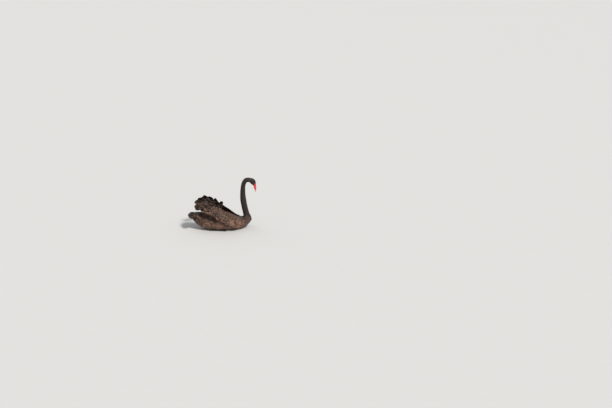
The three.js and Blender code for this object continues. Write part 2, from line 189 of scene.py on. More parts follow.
def neck_frame(t):
    """The neck's centre at a share of its length, its run, and the way square to it in the middle plane."""
    ahead, up = (np.interp(t, neck_share, neck_points[:, i]) for i in (0, 1))
    step = 0.004
    later, sooner = np.clip(t + step, 0, 1), np.clip(t - step, 0, 1)
    run = [np.interp(later, neck_share, q) - np.interp(sooner, neck_share, q) for q in neck_points.T]
    run = unit(place(0 * t, run[0], run[1]))
    return place(0 * t, ahead, up + DRAUGHT), run, np.cross(run, np.array([1.0, 0, 0]))


def neck_surface(t, angle, depth):
    """Circles a little narrower than deep, carried along the neck's line."""
    centre, _, outward = neck_frame(t)
    radius = (neck_radius(t) - depth) * MM
    across = (np.sin(angle) * radius * NECK_FLATNESS)[..., None] * np.array([1.0, 0, 0])
    return centre + across + outward * (np.cos(angle) * radius)[..., None]


def pitched(ahead, up, pitch):
    """A frame in the middle plane: along its pitch, and square to it towards the crown."""
    c, s = math.cos(math.radians(pitch)), math.sin(math.radians(pitch))
    return lambda aside, along, rise: place(aside, ahead + along * c - rise * s, up + along * s + rise * c)


def axes(frame_of):
    """The run and the rise of a pitched frame, as unit vectors."""
    origin = frame_of(0, 0, 0)
    return unit(frame_of(0, 1, 0) - origin), unit(frame_of(0, 0, 1) - origin)


in_head = pitched(HEAD["ahead"], HEAD["up"], HEAD["pitch"])
head_origin = in_head(0, 0, 0)
head_run, head_rise = axes(in_head)
bill_root = in_head(0, HEAD["face"] - BILL["overlap"], 3)
in_bill = pitched(-bill_root[1] / MM, bill_root[2] / MM, BILL["pitch"])
bill_run, bill_rise = axes(in_bill)
BILL_REACH = BILL["length"] + BILL["overlap"]


def head_surface(t, angle, depth):
    """Rings from nape to face, with a domed crown, full cheeks and a sloping forehead."""
    along = mix(-HEAD["back"] + depth, HEAD["face"] - depth, (1 - np.cos(np.pi * t)) / 2)
    swell = np.clip(np.sin(np.pi * t), 0, 1) ** np.where(along > 0, 0.64, 0.78)
    high = np.sin(angle)
    tall = np.where(high > 0, crown(along) * HEAD_HALF["crown"], throat(along) * HEAD_HALF["throat"])
    coat = depth * np.sqrt(swell)
    aside = np.cos(angle) * (cheek(along) * HEAD_HALF["cheek"] * swell - coat)
    return in_head(aside, along, high * (tall * swell - coat))


def wing_point(t, across, out):
    """The left wing's sheet, along it from the shoulder and across it: it leans in and bulges out."""
    lean = np.radians(wing_lean(t))
    taper = np.clip(4 * t * (1 - t), 0, 1) ** 0.3
    reach = across * wing_span(t) * taper
    bulged = (WING["bulge"] * (1 - across**2) + out) * taper
    aside = wing_aside(t) - reach * np.sin(lean) + bulged * np.cos(lean)
    return place(aside, wing_ahead(t), DRAUGHT + wing_up(t) + reach * np.cos(lean) + bulged * np.sin(lean))


def wing_surface(t, angle, depth):
    """A pad on both sides of the wing's sheet, thinner towards its rear end."""
    part = (1 - np.cos(np.pi * t)) / 2
    thick = WING["thickness"] * (1 - WING["thinning"] * part) - depth
    return wing_point(part, oval(np.cos(angle), 0.9) * (1 - depth / 60), np.sin(angle) * thick)


def tail_surface(t, angle, depth):
    """The wedge of flesh and down that carries the tail's feathers."""
    part = (1 - np.cos(np.pi * t)) / 2
    swell = np.clip(np.sin(np.pi * t), 0, 1)
    ahead = mix(TAIL["root"] + 30, TAIL["tip"] + 34, part)
    high = np.sin(angle) * (mix(30, 9, part) - depth) * swell
    return place(np.cos(angle) * (66 - depth) * swell, ahead, TAIL["up"] - 8 + mix(4, -2, part) + high)


def web_surface(t, angle, depth):
    """The fold of skin between the wing's inner face and the body's side, thin at its ends."""
    part = mix(0.06, 0.72, (1 - np.cos(np.pi * t)) / 2)
    wing = wing_point(part, -0.8 + 0 * part, -8.0 + 0 * part)
    body = place(114 - 14 * part, wing_ahead(part), DRAUGHT + trunk_spine(wing_ahead(part)) + 22)
    square = np.cross(unit(wing - body), np.array([0, 1.0, 0]))
    reach = (1 + oval(np.cos(angle), 0.8)) / 2
    swell = np.clip(np.sin(np.pi * t), 0, 1) ** 0.6
    thick = np.sin(angle) * (11 - depth) * swell * MM
    return mix(body, wing, reach[..., None]) + square * thick[..., None]


def face_surface(t, angle, depth):
    """Rings from brow and cheeks down to the root of the bill, turning from the head's line to the bill's."""
    share = (1 - np.cos(np.pi * t)) / 2
    pulled = (2.5 * MM * share * np.cos(angle) ** 2)[..., None] * bill_run
    centre = mix(in_head(0, -8, 0), in_bill(0, 11, 0), share[..., None]) + pulled
    rise = unit(mix(head_rise, bill_rise, smooth(0.1, 1, share)[..., None]))
    high = np.sin(angle)
    narrowed = smooth(0, 1, share)
    coat = depth * (1 - share)
    above = mix(26, 15.2, narrowed) + 15 * share**2 * (1 - share)
    tall = np.where(high > 0, above, mix(24, 15.3, narrowed)) - coat
    aside = oval(np.cos(angle), 0.9) * (mix(22, 11.3, narrowed) - coat)
    return centre + place(aside, 0, 0) + rise * (high * tall * MM)[..., None]


def mirrored(points, side):
    """The points on the left, or their mirror images on the right."""
    return points * np.array([side, 1, 1])


def closed_rings(points):
    """Vertices and faces of rings of points: quads between neighbours, and one face over each end."""
    rows, columns = points.shape[:2]
    r, c = np.mgrid[0 : rows - 1, 0:columns]
    n = (c + 1) % columns
    quads = np.stack([r * columns + c, r * columns + n, (r + 1) * columns + n, (r + 1) * columns + c], -1)
    faces = [tuple(q) for q in quads.reshape(-1, 4).tolist()]
    faces.append(tuple(range(columns))[::-1])
    faces.append(tuple(range((rows - 1) * columns, rows * columns)))
    return points.reshape(-1, 3), faces


def ring_grid(surface, rows, columns, *depth, start=0.004, end=0.996):
    """A surface of two parameters worked out on rows along it and columns round it."""
    t, angle = np.meshgrid(np.linspace(start, end, rows), np.arange(columns) * TURN / columns, indexing="ij")
    return surface(t, angle, *depth)


def cut_flat(points, kind):
    """The points with those under the kind's clearance lifted to it."""
    points[..., 2] = np.maximum(points[..., 2], CLEAR[kind] * MM)
    return points


def new_piece(name, mesh, material):
    """An object at the origin that shows the mesh with the material."""
    piece = bpy.data.objects.new(name, mesh)
    bpy.context.scene.collection.objects.link(piece)
    mesh.materials.append(material)
    return piece


def outward(mesh):
    """Turns every face of the mesh outwards and merges doubled points."""
    work = bmesh.new()
    work.from_mesh(mesh)
    bmesh.ops.remove_doubles(work, verts=work.verts, dist=1e-6)
    bmesh.ops.recalc_face_normals(work, faces=work.faces)
    work.to_mesh(mesh)
    work.free()


def solid_piece(name, parts, material):
    """One smooth object from parts, each of vertices and faces."""
    points, faces, first = [], [], 0
    for vertices, corners in parts:
        points.append(vertices)
        faces += [tuple(i + first for i in face) for face in corners]
        first += len(vertices)
    mesh = bpy.data.meshes.new(name)
    mesh.from_pydata(np.vstack(points).tolist(), [], faces)
    outward(mesh)
    mesh.polygons.foreach_set("use_smooth", [True] * len(mesh.polygons))
    return new_piece(name, mesh, material)


def settled(piece, slot, *nodes):
    """The piece rides on the model's one body and stands for the nodes; the slot is not used."""
    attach(piece, "root")
    if nodes:
        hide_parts(*nodes)
    return piece


def point_values(mesh, name, values):
    """Writes one value or colour for each point of the mesh as a named attribute."""
    if values.ndim == 1:
        mesh.attributes.new(name, "FLOAT", "POINT").data.foreach_set("value", values.astype(np.float32))
        return
    colours = np.concatenate([values, np.ones((len(values), 1))], 1).astype(np.float32)
    mesh.attributes.new(name, "FLOAT_COLOR", "POINT").data.foreach_set("color", colours.ravel())


def point_places(mesh, name, values):
    """Writes a UV map from one pair of numbers for each point."""
    corners = np.empty(len(mesh.loops), np.int32)
    mesh.loops.foreach_get("vertex_index", corners)
    layer = mesh.uv_layers.new(name=name)
    layer.data.foreach_set("uv", values[corners].astype(np.float32).ravel())


# Markings, with painted light on the lower flank, which skin and coat share
def ripple(points, size, seed):
    """A smooth random value from -1 to 1: sines in directions drawn once, about size metres across."""
    rng = np.random.default_rng(seed)
    total = 0
    for _ in range(6):
        direction = unit(rng.normal(size=3)) * rng.uniform(0.7, 1.4) * TURN / size
        total = total + np.sin(points @ direction + rng.uniform(0, TURN))
    return np.clip(total / 2.6, -1, 1)


def neck_place(points, batch=20000):
    """For each point the nearest share along the neck's line, and the distance from it in metres."""
    t = np.linspace(0, 1, 260)
    centre, _, _ = neck_frame(t)
    nearest, distance = np.empty(len(points)), np.empty(len(points))
    for first in range(0, len(points), batch):
        some = slice(first, first + batch)
        gaps = np.linalg.norm(points[some, None, :] - centre[None], axis=2)
        best = gaps.argmin(1)
        nearest[some], distance[some] = t[best], gaps[np.arange(len(best)), best]
    return nearest, distance


def head_place(points):
    """For each point its place along the head's run and its height over it, in millimetres."""
    away = (points - head_origin) / MM
    return away @ head_run, away @ head_rise


def neckness(points):
    """One on the neck and head, zero on the body, and a smooth blend where the neck leaves the breast."""
    t, distance = neck_place(points)
    reach = smooth(0.0, 0.24, t) * (1 - smooth(1.25, 1.9, distance / (neck_radius(t) * MM)))
    return np.maximum(reach, smooth(0.5, 0.6, t) * (distance < 0.12))


def lores(points):
    """One on the bare red skin in front of the eye, which narrows from the bill to a point at the eye."""
    along, rise = head_place(points)
    edge = 42 - 20 * np.clip(1 - np.abs(rise - 5) / 17, 0, 1) ** 1.25
    return smooth(-0.6, 0.6, along - edge) * (np.linalg.norm(points - head_origin, axis=1) < 80 * MM)


def markings_and_flank_light(points, colours):
    """The ground colour of the plumage at each point, and how strong the feathers' pale fringes are there;
    the lower flank is made paler, partly as painted light that lifts the shade under the body.
    """
    neck = neckness(points)[:, None]
    ahead, up = -points[:, 1] / MM, points[:, 2] / MM
    # Painted light: the flank grows paler towards the floor, lifting the shade on the body's lower side, and
    # its pale fringes grow stronger there
    flank = (smooth(150, 60, up) * smooth(-330, -200, ahead) * smooth(340, 150, ahead))[:, None]
    body, sooty, pale = (np.array(c) for c in (colours.body, colours.neck, colours.flank))
    ground = mix(mix(body, pale, 0.85 * flank), sooty, neck)
    patches = 0.3 * ripple(points, 0.10, 3) + 0.5 * ripple(points, 0.045, 5)
    ground = ground * (1 + patches[:, None] * (1 - 0.75 * neck))
    fringe = mix(0.8 + 0.2 * flank, 0.07, neck)[:, 0] * (1 + 0.3 * ripple(points, 0.12, 8))
    return ground, np.clip(fringe * (1 - 0.35 * smooth(150, 280, ahead)), 0, 1)


# Material parts
SHADER_SOCKETS = {
    "specular": "Specular IOR Level",
    "sheen": "Sheen Weight",
    "sheen_roughness": "Sheen Roughness",
    "sheen_tint": "Sheen Tint",
    "coat": "Coat Weight",
    "coat_roughness": "Coat Roughness",
}


def fed(tree, socket, value):
    """Links another node's output to the socket, or sets the socket to a number or a colour."""
    if isinstance(value, bpy.types.NodeSocket):
        tree.links.new(value, socket)
    elif socket.type == "RGBA":
        socket.default_value = (*value, 1)[:4]
    else:
        socket.default_value = value


def node(tree, kind, place_at, inputs=None, **settings):
    """A new node of the kind, placed on the sheet, with its settings made and its inputs fed."""
    made = tree.nodes.new(kind)
    made.location = place_at
    for key, value in settings.items():
        setattr(made, key, value)
    for key, value in (inputs or {}).items():
        fed(tree, made.inputs[key], value)
    return made


def maths(tree, operation, place_at, *inputs):
    """The output of a Math node whose inputs are numbers or other nodes' outputs."""
    return node(tree, "ShaderNodeMath", place_at, dict(enumerate(inputs)), operation=operation).outputs[0]


def product(tree, place_at, *inputs):
    """The product of two numbers or outputs."""
    return maths(tree, "MULTIPLY", place_at, *inputs)


def ramp(tree, value, low, high, place_at, to_low=0.0, to_high=1.0):
    """A smooth step of a value from low to high, as an output."""
    inputs = dict(enumerate((value, low, high, to_low, to_high)))
    return node(tree, "ShaderNodeMapRange", place_at, inputs, interpolation_type="SMOOTHSTEP").outputs[0]


def blended(tree, share, first, second, place_at):
    """A mix of two colours or outputs, as an output."""
    return node(tree, "ShaderNodeMix", place_at, {0: share, 6: first, 7: second}, data_type="RGBA").outputs[2]


def scaled(tree, colour, tone, place_at):
    """A colour times a number, as an output."""
    inputs = {0: colour, "Scale": tone}
    return node(tree, "ShaderNodeVectorMath", place_at, inputs, operation="SCALE").outputs[0]


def on_piece(tree, place_at):
    """The place on the piece in its own coordinates."""
    return node(tree, "ShaderNodeTexCoord", place_at).outputs["Object"]


def noise(tree, place_at, scale, detail=2.0):
    """The value of a cloudy noise over the piece."""
    inputs = {"Vector": on_piece(tree, (place_at[0] - 200, place_at[1])), "Scale": scale, "Detail": detail}
    return node(tree, "ShaderNodeTexNoise", place_at, inputs).outputs["Fac"]


def attribute(tree, place_at, name, output="Fac"):
    """A named attribute of the mesh, as an output."""
    return node(tree, "ShaderNodeAttribute", place_at, attribute_name=name).outputs[output]


def shades(colour, *factors):
    """The colour times each factor, none above one."""
    return [tuple(min(1, part * factor) for part in colour) for factor in factors]


def new_group(name, inputs, outputs):
    """An empty shader group with named inputs and outputs; each input has its type and default."""
    tree = bpy.data.node_groups.new(name, "ShaderNodeTree")
    for label, kind, default in inputs:
        socket = tree.interface.new_socket(label, in_out="INPUT", socket_type=kind)
        socket.default_value = default
    for label, kind in outputs:
        tree.interface.new_socket(label, in_out="OUTPUT", socket_type=kind)
    return tree, tree.nodes.new("NodeGroupInput"), tree.nodes.new("NodeGroupOutput")


def vane_group():
    """The pattern of one vane on the map named Vane: a raised shaft drawn paler as a painted highlight,
    slanting barbs, and a pale fringe at the tip.
    """
    if "Vane pattern" in bpy.data.node_groups:
        return bpy.data.node_groups["Vane pattern"]
    tree, inlet, outlet = new_group(
        "Vane pattern",
        [
            ("Barbs", "NodeSocketFloat", 26.0),
            ("Shaft", "NodeSocketFloat", 0.5),
            ("Fringe Width", "NodeSocketFloat", 0.2),
        ],
        [("Color", "NodeSocketColor"), ("Roughness", "NodeSocketFloat"), ("Height", "NodeSocketFloat")],
    )
    sheet = node(tree, "ShaderNodeUVMap", (-1400, 0), uv_map="Vane").outputs[0]
    across, along, _ = node(tree, "ShaderNodeSeparateXYZ", (-1200, 0), {0: sheet}).outputs
    aside = maths(tree, "ABSOLUTE", (-900, 0), maths(tree, "MULTIPLY_ADD", (-1050, 0), across, 2.0, -1.0))
    reach = maths(tree, "MAXIMUM", (-750, 200), aside, product(tree, (-900, 200), along, 0.98))
    inner = maths(tree, "SUBTRACT", (-750, 400), 1.0, inlet.outputs["Fringe Width"])
    fringe = ramp(tree, reach, inner, 0.97, (-550, 300))
    fringe = product(tree, (-350, 200), fringe, ramp(tree, along, 0.2, 0.55, (-550, 100)))
    fringe = product(tree, (-150, 300), fringe, attribute(tree, (-550, 550), "Fringe"))
    worn = ramp(tree, noise(tree, (-750, 700), 160.0), 0.36, 0.62, (-550, 700), 0.25, 1.0)
    fringe = product(tree, (0, 350), fringe, worn)
    slant = maths(tree, "MULTIPLY_ADD", (-900, -200), aside, -0.35, along)
    phase = product(tree, (-750, -200), product(tree, (-820, -300), slant, TURN), inlet.outputs["Barbs"])
    barbs = maths(tree, "SINE", (-600, -200), phase)
    # The shaft: a raised ridge in the height, and drawn paler towards the fringe colour as a painted
    # highlight
    shaft_ridge_and_highlight = ramp(tree, aside, 0.05, 0.14, (-600, -400), 1.0, 0.0)
    shaft_ridge_and_highlight = product(tree, (-400, -400), shaft_ridge_and_highlight, ramp(tree, along, 0.7, 0.98, (-600, -600), 1.0, 0.0))
    shaft_ridge_and_highlight = product(tree, (-250, -400), shaft_ridge_and_highlight, inlet.outputs["Shaft"])
    pale = attribute(tree, (-550, 1000), "Pale", "Color")
    tone = blended(tree, fringe, attribute(tree, (-550, 800), "Tint", "Color"), pale, (0, 600))
    tone = blended(tree, product(tree, (0, 100), shaft_ridge_and_highlight, 0.5), tone, pale, (200, 500))
    streaked = maths(tree, "MULTIPLY_ADD", (-350, 0), barbs, 0.06, 1.0)
    fed(tree, outlet.inputs["Color"], scaled(tree, tone, streaked, (400, 500)))
    rough = maths(tree, "MULTIPLY_ADD", (0, -100), barbs, 0.05, 0.5)
    fed(tree, outlet.inputs["Roughness"], maths(tree, "MULTIPLY_ADD", (200, 100), fringe, 0.18, rough))
    height = maths(tree, "ADD", (200, -300), product(tree, (0, -300), barbs, 0.25), shaft_ridge_and_highlight)
    fed(tree, outlet.inputs["Height"], height)
    return tree


def surface_material(name, roughness=0.5, **sockets):
    """A new material with its shader's plain sockets set; its tree and shader are returned with it."""
    material = bpy.data.materials.new(name)
    material.use_nodes = True
    shader = material.node_tree.nodes["Principled BSDF"]
    shader.location = (700, 0)
    shader.inputs["Roughness"].default_value = roughness
    for key, value in sockets.items():
        shader.inputs[SHADER_SOCKETS[key]].default_value = value
    return material, material.node_tree, shader


def bumped(tree, shader, height, strength, distance=0.0004):
    """A Bump node from the height to the shader's normal."""
    inputs = {"Strength": strength, "Distance": distance, "Height": height}
    fed(tree, shader.inputs["Normal"], node(tree, "ShaderNodeBump", (450, -350), inputs).outputs[0])


def feather_material(name, barbs, shaft, fringe, sheen, bump=0.5):
    """Feathers: the vane pattern over the tint that each feather carries, with a faint silky sheen."""
    if name in bpy.data.materials:
        return bpy.data.materials[name]
    silk = {"sheen": sheen, "sheen_roughness": 0.4, "sheen_tint": (0.8, 0.74, 0.7, 1)}
    material, tree, shader = surface_material(name, specular=0.2, **silk)
    inputs = {"Barbs": barbs, "Shaft": shaft, "Fringe Width": fringe}
    pattern = node(tree, "ShaderNodeGroup", (200, 0), node_tree=vane_group())
    for label, value in inputs.items():
        fed(tree, pattern.inputs[label], value)
    fed(tree, shader.inputs["Base Color"], pattern.outputs["Color"])
    fed(tree, shader.inputs["Roughness"], pattern.outputs["Roughness"])
    bumped(tree, shader, pattern.outputs["Height"], bump)
    return material


# Vanes
def vane_frames(run, up):
    """The run, the direction square to it nearest to up, and the third, as unit vectors."""
    run = unit(run)
    up = unit(up - (up * run).sum(-1, keepdims=True) * run)
    return run, up, np.cross(run, up)


def vanes(f, stations, ring):
    """Points of many feathers at once, as an array of feather, station and place round the vane.

    A spine leaves the root at the lift angle over the run, and turns by the bend times the way along it and
    the curl times that way's cube; its points are the running sum of steps of the run times the angle's
    cosine and up times its sine. The half-width grows from the quill, holds, and closes as an ellipse.
    Each cross-section is a lens, arched by the camber, rolled about the spine, and waved at its edges."""
    count = len(f["root"])
    t = np.asarray(stations, float)[None, :]
    run, up, side = vane_frames(f["run"], f["up"])
    lift, bend, curl = f["lift"][:, None], f["bend"][:, None], f["curl"][:, None]
    steps = np.diff(t, axis=1) * f["length"][:, None]
    halfway = (t[:, 1:] + t[:, :-1]) / 2
    middle = lift + bend * halfway + curl * halfway**3
    start = np.zeros((count, 1))
    forward = np.concatenate([start, np.cumsum(steps * np.cos(middle), 1)], 1)
    upward = np.concatenate([start, np.cumsum(steps * np.sin(middle), 1)], 1)
    spine = f["root"][:, None] + run[:, None] * forward[..., None] + up[:, None] * upward[..., None]
    turn = (lift + bend * t + curl * t**3)[..., None]
    face = up[:, None] * np.cos(turn) - run[:, None] * np.sin(turn)
    roll = (f["roll"][:, None] + f["twist"][:, None] * t)[..., None]
    across = side[:, None] * np.cos(roll) + face * np.sin(roll)
    face = face * np.cos(roll) - side[:, None] * np.sin(roll)
    tip = f["tip"][:, None]
    past = np.clip((t - tip) / (1 - tip), 0, 1)
    closing = np.sqrt(np.maximum(1 - past**2.2, 0.006))
    half = f["width"][:, None] / 2 * (0.4 + 0.6 * smooth(0, 0.42, t)) * closing
    a, s = (np.array(v, float) for v in zip(*ring))
    edge = a[None, None, :]
    wave = np.sin(f["waves"][:, None, None] * t[..., None] * TURN + f["phase"][:, None, None] + edge * 1.2)
    arch = -f["camber"][:, None, None] * half[..., None] * edge**2
    arch = arch + f["wave"][:, None, None] * wave * np.abs(edge) * smooth(0.1, 0.5, t)[..., None]
    thick = f["thick"][:, None, None] * (1 - 0.6 * t[..., None]) * (1 - 0.55 * edge**2) / 2
    shaft = 1 + 0.9 * (np.abs(edge) < 0.05) * (1 - t[..., None])
    offset = arch + s * thick * shaft
    points = spine[:, :, None] + across[:, :, None] * (edge * half[..., None])[..., None]
    points = points + face[:, :, None] * offset[..., None]
    return points.reshape(count, len(stations), len(ring), 3)


SMALL_RING = ((-1, 0), (0, 1), (1, 0))
LENS_RING = ((-1, 0), (0, 1), (1, 0), (0, -1))
BROAD_RING = ((-1, 0), (-0.5, 1), (0, 1), (0.5, 1), (1, 0), (0.5, -1), (0, -1), (-0.5, -1))
DEFAULTS = {"lift": 0.12, "bend": -0.1, "curl": 0.0, "roll": 0.0, "twist": 0.0, "camber": 0.25, "wave": 0.0}
DEFAULTS |= {"waves": 1.5, "phase": 0.0, "tip": 0.6, "thick": 0.3 * MM}


def feather_set(root, run, up, length, width, **more):
    """A table of feathers: each value is one number for all, or an array with one for each feather."""
    count = len(root)
    table = {"root": root, "run": run, "up": up}
    for key, value in (DEFAULTS | {"length": length, "width": width} | more).items():
        table[key] = np.broadcast_to(np.asarray(value, float), (count,)).copy()
    return table


def joined_sets(*sets):
    """Several tables of feathers as one."""
    return {key: np.concatenate([s[key] for s in sets]) for key in sets[0]}


def crisp_rims(mesh, rows, columns, ring):
    """Marks the edges down each vane's rims and round its ends as sharp, so that it shades as a thin leaf."""
    pairs = np.empty(len(mesh.edges) * 2, np.int64)
    mesh.edges.foreach_get("vertices", pairs)
    row, column = np.divmod(pairs.reshape(-1, 2) % (rows * columns), columns)
    rims = [k for k in range(columns) if abs(ring[k][0]) == 1]
    along = (column[:, 0] == column[:, 1]) & np.isin(column[:, 0], rims)
    ends = (row[:, 0] == row[:, 1]) & np.isin(row[:, 0], (0, rows - 1))
    layer = mesh.attributes.new("sharp_edge", "BOOLEAN", "EDGE")
    layer.data.foreach_set("value", along | ends)


def coat_piece(name, table, stations, ring, material):
    """One mesh of all the feathers in a table, with the vane's own map, the bake map, and the colours."""
    points = cut_flat(vanes(table, stations, ring), "coat")
    count, rows, columns = points.shape[:3]
    j, k = np.mgrid[0 : rows - 1, 0:columns]
    n = (k + 1) % columns
    quads = np.stack([j * columns + k, (j + 1) * columns + k, (j + 1) * columns + n, j * columns + n], -1)
    ends = np.stack([np.arange(columns), np.arange(columns)[::-1] + (rows - 1) * columns])
    each = np.arange(count)[:, None, None] * rows * columns
    quads, ends = (quads.reshape(-1, 4) + each).ravel(), (ends + each).ravel()
    sizes = np.concatenate([np.full(len(quads) // 4, 4), np.full(len(ends) // columns, columns)])
    mesh = bpy.data.meshes.new(name)
    mesh.vertices.add(count * rows * columns)
    mesh.vertices.foreach_set("co", points.astype(np.float32).ravel())
    mesh.loops.add(len(quads) + len(ends))
    mesh.loops.foreach_set("vertex_index", np.concatenate([quads, ends]).astype(np.int32))
    mesh.polygons.add(len(sizes))
    mesh.polygons.foreach_set("loop_start", (np.cumsum(sizes) - sizes).astype(np.int32))
    mesh.polygons.foreach_set("loop_total", sizes.astype(np.int32))
    mesh.polygons.foreach_set("use_smooth", np.ones(len(sizes), bool))
    mesh.update(calc_edges=True)
    crisp_rims(mesh, rows, columns, ring)
    sheet = np.empty((rows, columns, 2))
    sheet[..., 0] = (np.array([a for a, _ in ring]) + 1) / 2
    sheet[..., 1] = np.asarray(stations)[:, None]
    vane_map = np.broadcast_to(sheet, (count, rows, columns, 2)).reshape(-1, 2)
    point_places(mesh, "Vane", vane_map)
    spread = table["atlas"]
    low, high = spread.min(0), spread.max(0)
    centres = 0.01 + 0.98 * (spread - low) / np.maximum(high - low, 1e-9)
    bake = np.repeat(centres, rows * columns, 0) + (vane_map - 0.5) * BAKE_PATCH
    point_places(mesh, "OFBake", bake)
    mesh.uv_layers["Vane"].active_render = True
    for label in ("tint", "pale", "fringe"):
        point_values(mesh, label.title(), np.repeat(table[label], rows * columns, 0))
    return new_piece(name, mesh, material)


def coloured(table, colours, rng, spread, darker=1.0):
    """Gives each feather of a table its ground colour, fringe colour and fringe strength."""
    ground, fringe = markings_and_flank_light(table["root"], colours)
    tone = np.exp(rng.normal(0, spread, len(ground)))[:, None] * rng.normal(1, 0.03, (len(ground), 3))
    table["tint"] = np.clip(ground * tone * darker, 0, 1)
    table["pale"] = np.clip(np.array(colours.fringe) * tone**0.5 * (0.6 + 0.4 * darker), 0, 1)
    table["fringe"] = np.clip(fringe * rng.uniform(0.55, 1.1, len(fringe)), 0, 1)
    return table


# The skin
class Skin:
    """The finished skin, for rooting feathers on it: points with normals and regions, and triangles."""

    points = normals = triangles = regions = tree = None


def region_of(points, batch=2000):
    """The number of the part whose surface each point is nearest to."""
    wing, web = ring_grid(wing_surface, 50, 36, DEPTH["wing"]), ring_grid(web_surface, 30, 20, DEPTH["web"])
    clouds = [
        ("trunk", ring_grid(trunk_surface, 60, 60, DEPTH["trunk"])),
        ("neck", ring_grid(neck_surface, 60, 30, DEPTH["neck"], start=0.1, end=0.96)),
        ("head", ring_grid(head_surface, 30, 30, DEPTH["head"])),
        ("head", ring_grid(face_surface, 20, 30, DEPTH["head"])),
        ("trunk", web),
        ("trunk", mirrored(web, -1)),
        ("wing_left", wing),
        ("wing_right", mirrored(wing, -1)),
        ("tail", ring_grid(tail_surface, 24, 30, DEPTH["tail"])),
    ]
    numbers = np.concatenate([np.full(c[..., 0].size, REGIONS[name]) for name, c in clouds])
    cloud = np.vstack([c.reshape(-1, 3) for _, c in clouds]).astype(np.float32)
    half = (cloud**2).sum(1) / 2
    nearest = np.empty(len(points), int)
    for first in range(0, len(points), batch):
        some = points[first : first + batch].astype(np.float32)
        nearest[first : first + batch] = (some @ cloud.T - half).argmax(1)
    return numbers[nearest]


def relaxed(points, edges, share, rounds):
    """Moves each point towards the mean of its neighbours by its share, for a number of rounds."""
    (first, second), count = edges.T, len(points)
    degree = np.maximum(np.bincount(edges.ravel(), minlength=count), 1)[:, None]
    for _ in range(rounds):
        total = [np.bincount(first, x[second], count) for x in points.T]
        total = [so_far + np.bincount(second, x[first], count) for so_far, x in zip(total, points.T)]
        points = points + (np.stack(total, 1) / degree - points) * share[:, None]
    return points


def point_normals(points, triangles):
    """Unit normals of the points: the sum of the normals of their triangles, each weighted by its area."""
    a, b, c = (points[triangles[:, i]] for i in range(3))
    faces = np.cross(b - a, c - a)
    total = [sum(np.bincount(triangles[:, i], faces[:, j], len(points)) for i in range(3)) for j in range(3)]
    return unit(np.stack(total, 1))


def filled(points, edges, triangles, share, rounds):
    """Softens hollows only: a point moves along its normal as far as its neighbours' mean stands out."""
    near = np.flatnonzero(share > 0)
    new_index = np.full(len(points), -1)
    new_index[near] = np.arange(len(near))
    edges, triangles = (new_index[part][(new_index[part] >= 0).all(1)] for part in (edges, triangles))
    some, weight = points[near], share[near]
    for i in range(rounds):
        if i % 10 == 0:
            normals = point_normals(some, triangles)
        out = ((relaxed(some, edges, weight, 1) - some) * normals).sum(1)
        some = some + normals * np.maximum(out, 0)[:, None]
    points = points.copy()
    points[near] = some
    return points


def magnified(points, back=False):
    """Spreads the points round the head so that an even grid is finer there, or undoes that.

    A point's distance from the head grows by 1.2 times e to the minus square of that distance over 90 mm."""
    near = np.linspace(0, 2, 4000)
    far = near * (1 + 1.2 * np.exp(-((near / 0.09) ** 2)))
    away = points - head_origin
    reach = np.linalg.norm(away, axis=1)
    moved = np.interp(reach, far, near) if back else np.interp(reach, near, far)
    return head_origin + away * (moved / np.maximum(reach, 1e-9))[:, None]


def eye_centre(side):
    """The middle of an eyeball, set into the head so that only its cap shows."""
    reach = cheek(EYE["ahead"]) * HEAD_HALF["cheek"] * 0.93
    return in_head(side * (reach - EYE["radius"] + EYE["shows"]), EYE["ahead"], EYE["up"])


def lidded(points):
    """Lays the skin round each eye: under the eyeball inside the lids, then a rim, and then the cheek."""
    for side, _ in SIDES:
        ring = lid_ring(points, side)
        touch = abs(eye_centre(side)[0]) / MM + math.sqrt(EYE["radius"] ** 2 - LID["opening"] ** 2)
        rim = touch + LID["height"] * np.exp(-(((ring - LID["rim"]) / 0.75) ** 2))
        rim = rim - 2.2 * smooth(4.9, 4.0, ring)
        over = smooth(0, 6, (points - eye_centre(side)) @ head_rise / MM)
        brow = 0.45 * np.exp(-(((ring - 9.5) / 2.2) ** 2)) * over
        aside = np.abs(points[:, 0]) / MM
        moved = mix(aside, rim, smooth(13.0, 6.4, ring)) + brow
        points[:, 0] = np.where(ring < 20, side * moved * MM, points[:, 0])
    return points


def lid_ring(points, side):
    """The distance in millimetres from the eye's middle, along an almond; 99 on the head's other side."""
    away = (points - eye_centre(side)) / MM
    ring = np.hypot(away @ head_run / 1.08, away @ head_rise / 0.97)
    return np.where(away[:, 0] * side > 0, ring, 99.0)


def mesh_arrays(mesh):
    """The points, normals, edges and triangles of a mesh as arrays."""
    points, normals = np.empty(len(mesh.vertices) * 3), np.empty(len(mesh.vertices) * 3)
    mesh.vertices.foreach_get("co", points)
    mesh.vertices.foreach_get("normal", normals)
    edges = np.empty(len(mesh.edges) * 2, np.int64)
    mesh.edges.foreach_get("vertices", edges)
    mesh.calc_loop_triangles()
    triangles = np.empty(len(mesh.loop_triangles) * 3, np.int64)
    mesh.loop_triangles.foreach_get("vertices", triangles)
    return points.reshape(-1, 3), normals.reshape(-1, 3), edges.reshape(-1, 2), triangles.reshape(-1, 3)


def skin_material():
    """Bare and downy skin: the shared ground colour, with its painted light on the lower flank, fine pores,
    and smoother where it is bare.
    """
    material, tree, shader = surface_material("skin", specular=0.4)
    pores = noise(tree, (-450, -200), 900.0, 4.0)
    tone = ramp(tree, pores, 0.3, 0.7, (-200, -50), 0.93, 1.06)
    bare = attribute(tree, (-200, 400), "Bare")
    fed(tree, shader.inputs["Roughness"], ramp(tree, bare, 0.0, 1.0, (200, 400), 0.75, 0.42))
    tint = attribute(tree, (-200, 200), "Tint", "Color")
    fed(tree, shader.inputs["Base Color"], scaled(tree, tint, tone, (200, 200)))
    bumped(tree, shader, pores, 0.35, 0.0005)
    return material


def length_property(name, description, default):
    """A length that a user would change."""
    return FloatProperty(name=name, description=description, default=default, unit="LENGTH")


def colour_property(name, description, default):
    """A colour that a user would change."""
    return FloatVectorProperty(name=name, description=description, subtype="COLOR", default=default)


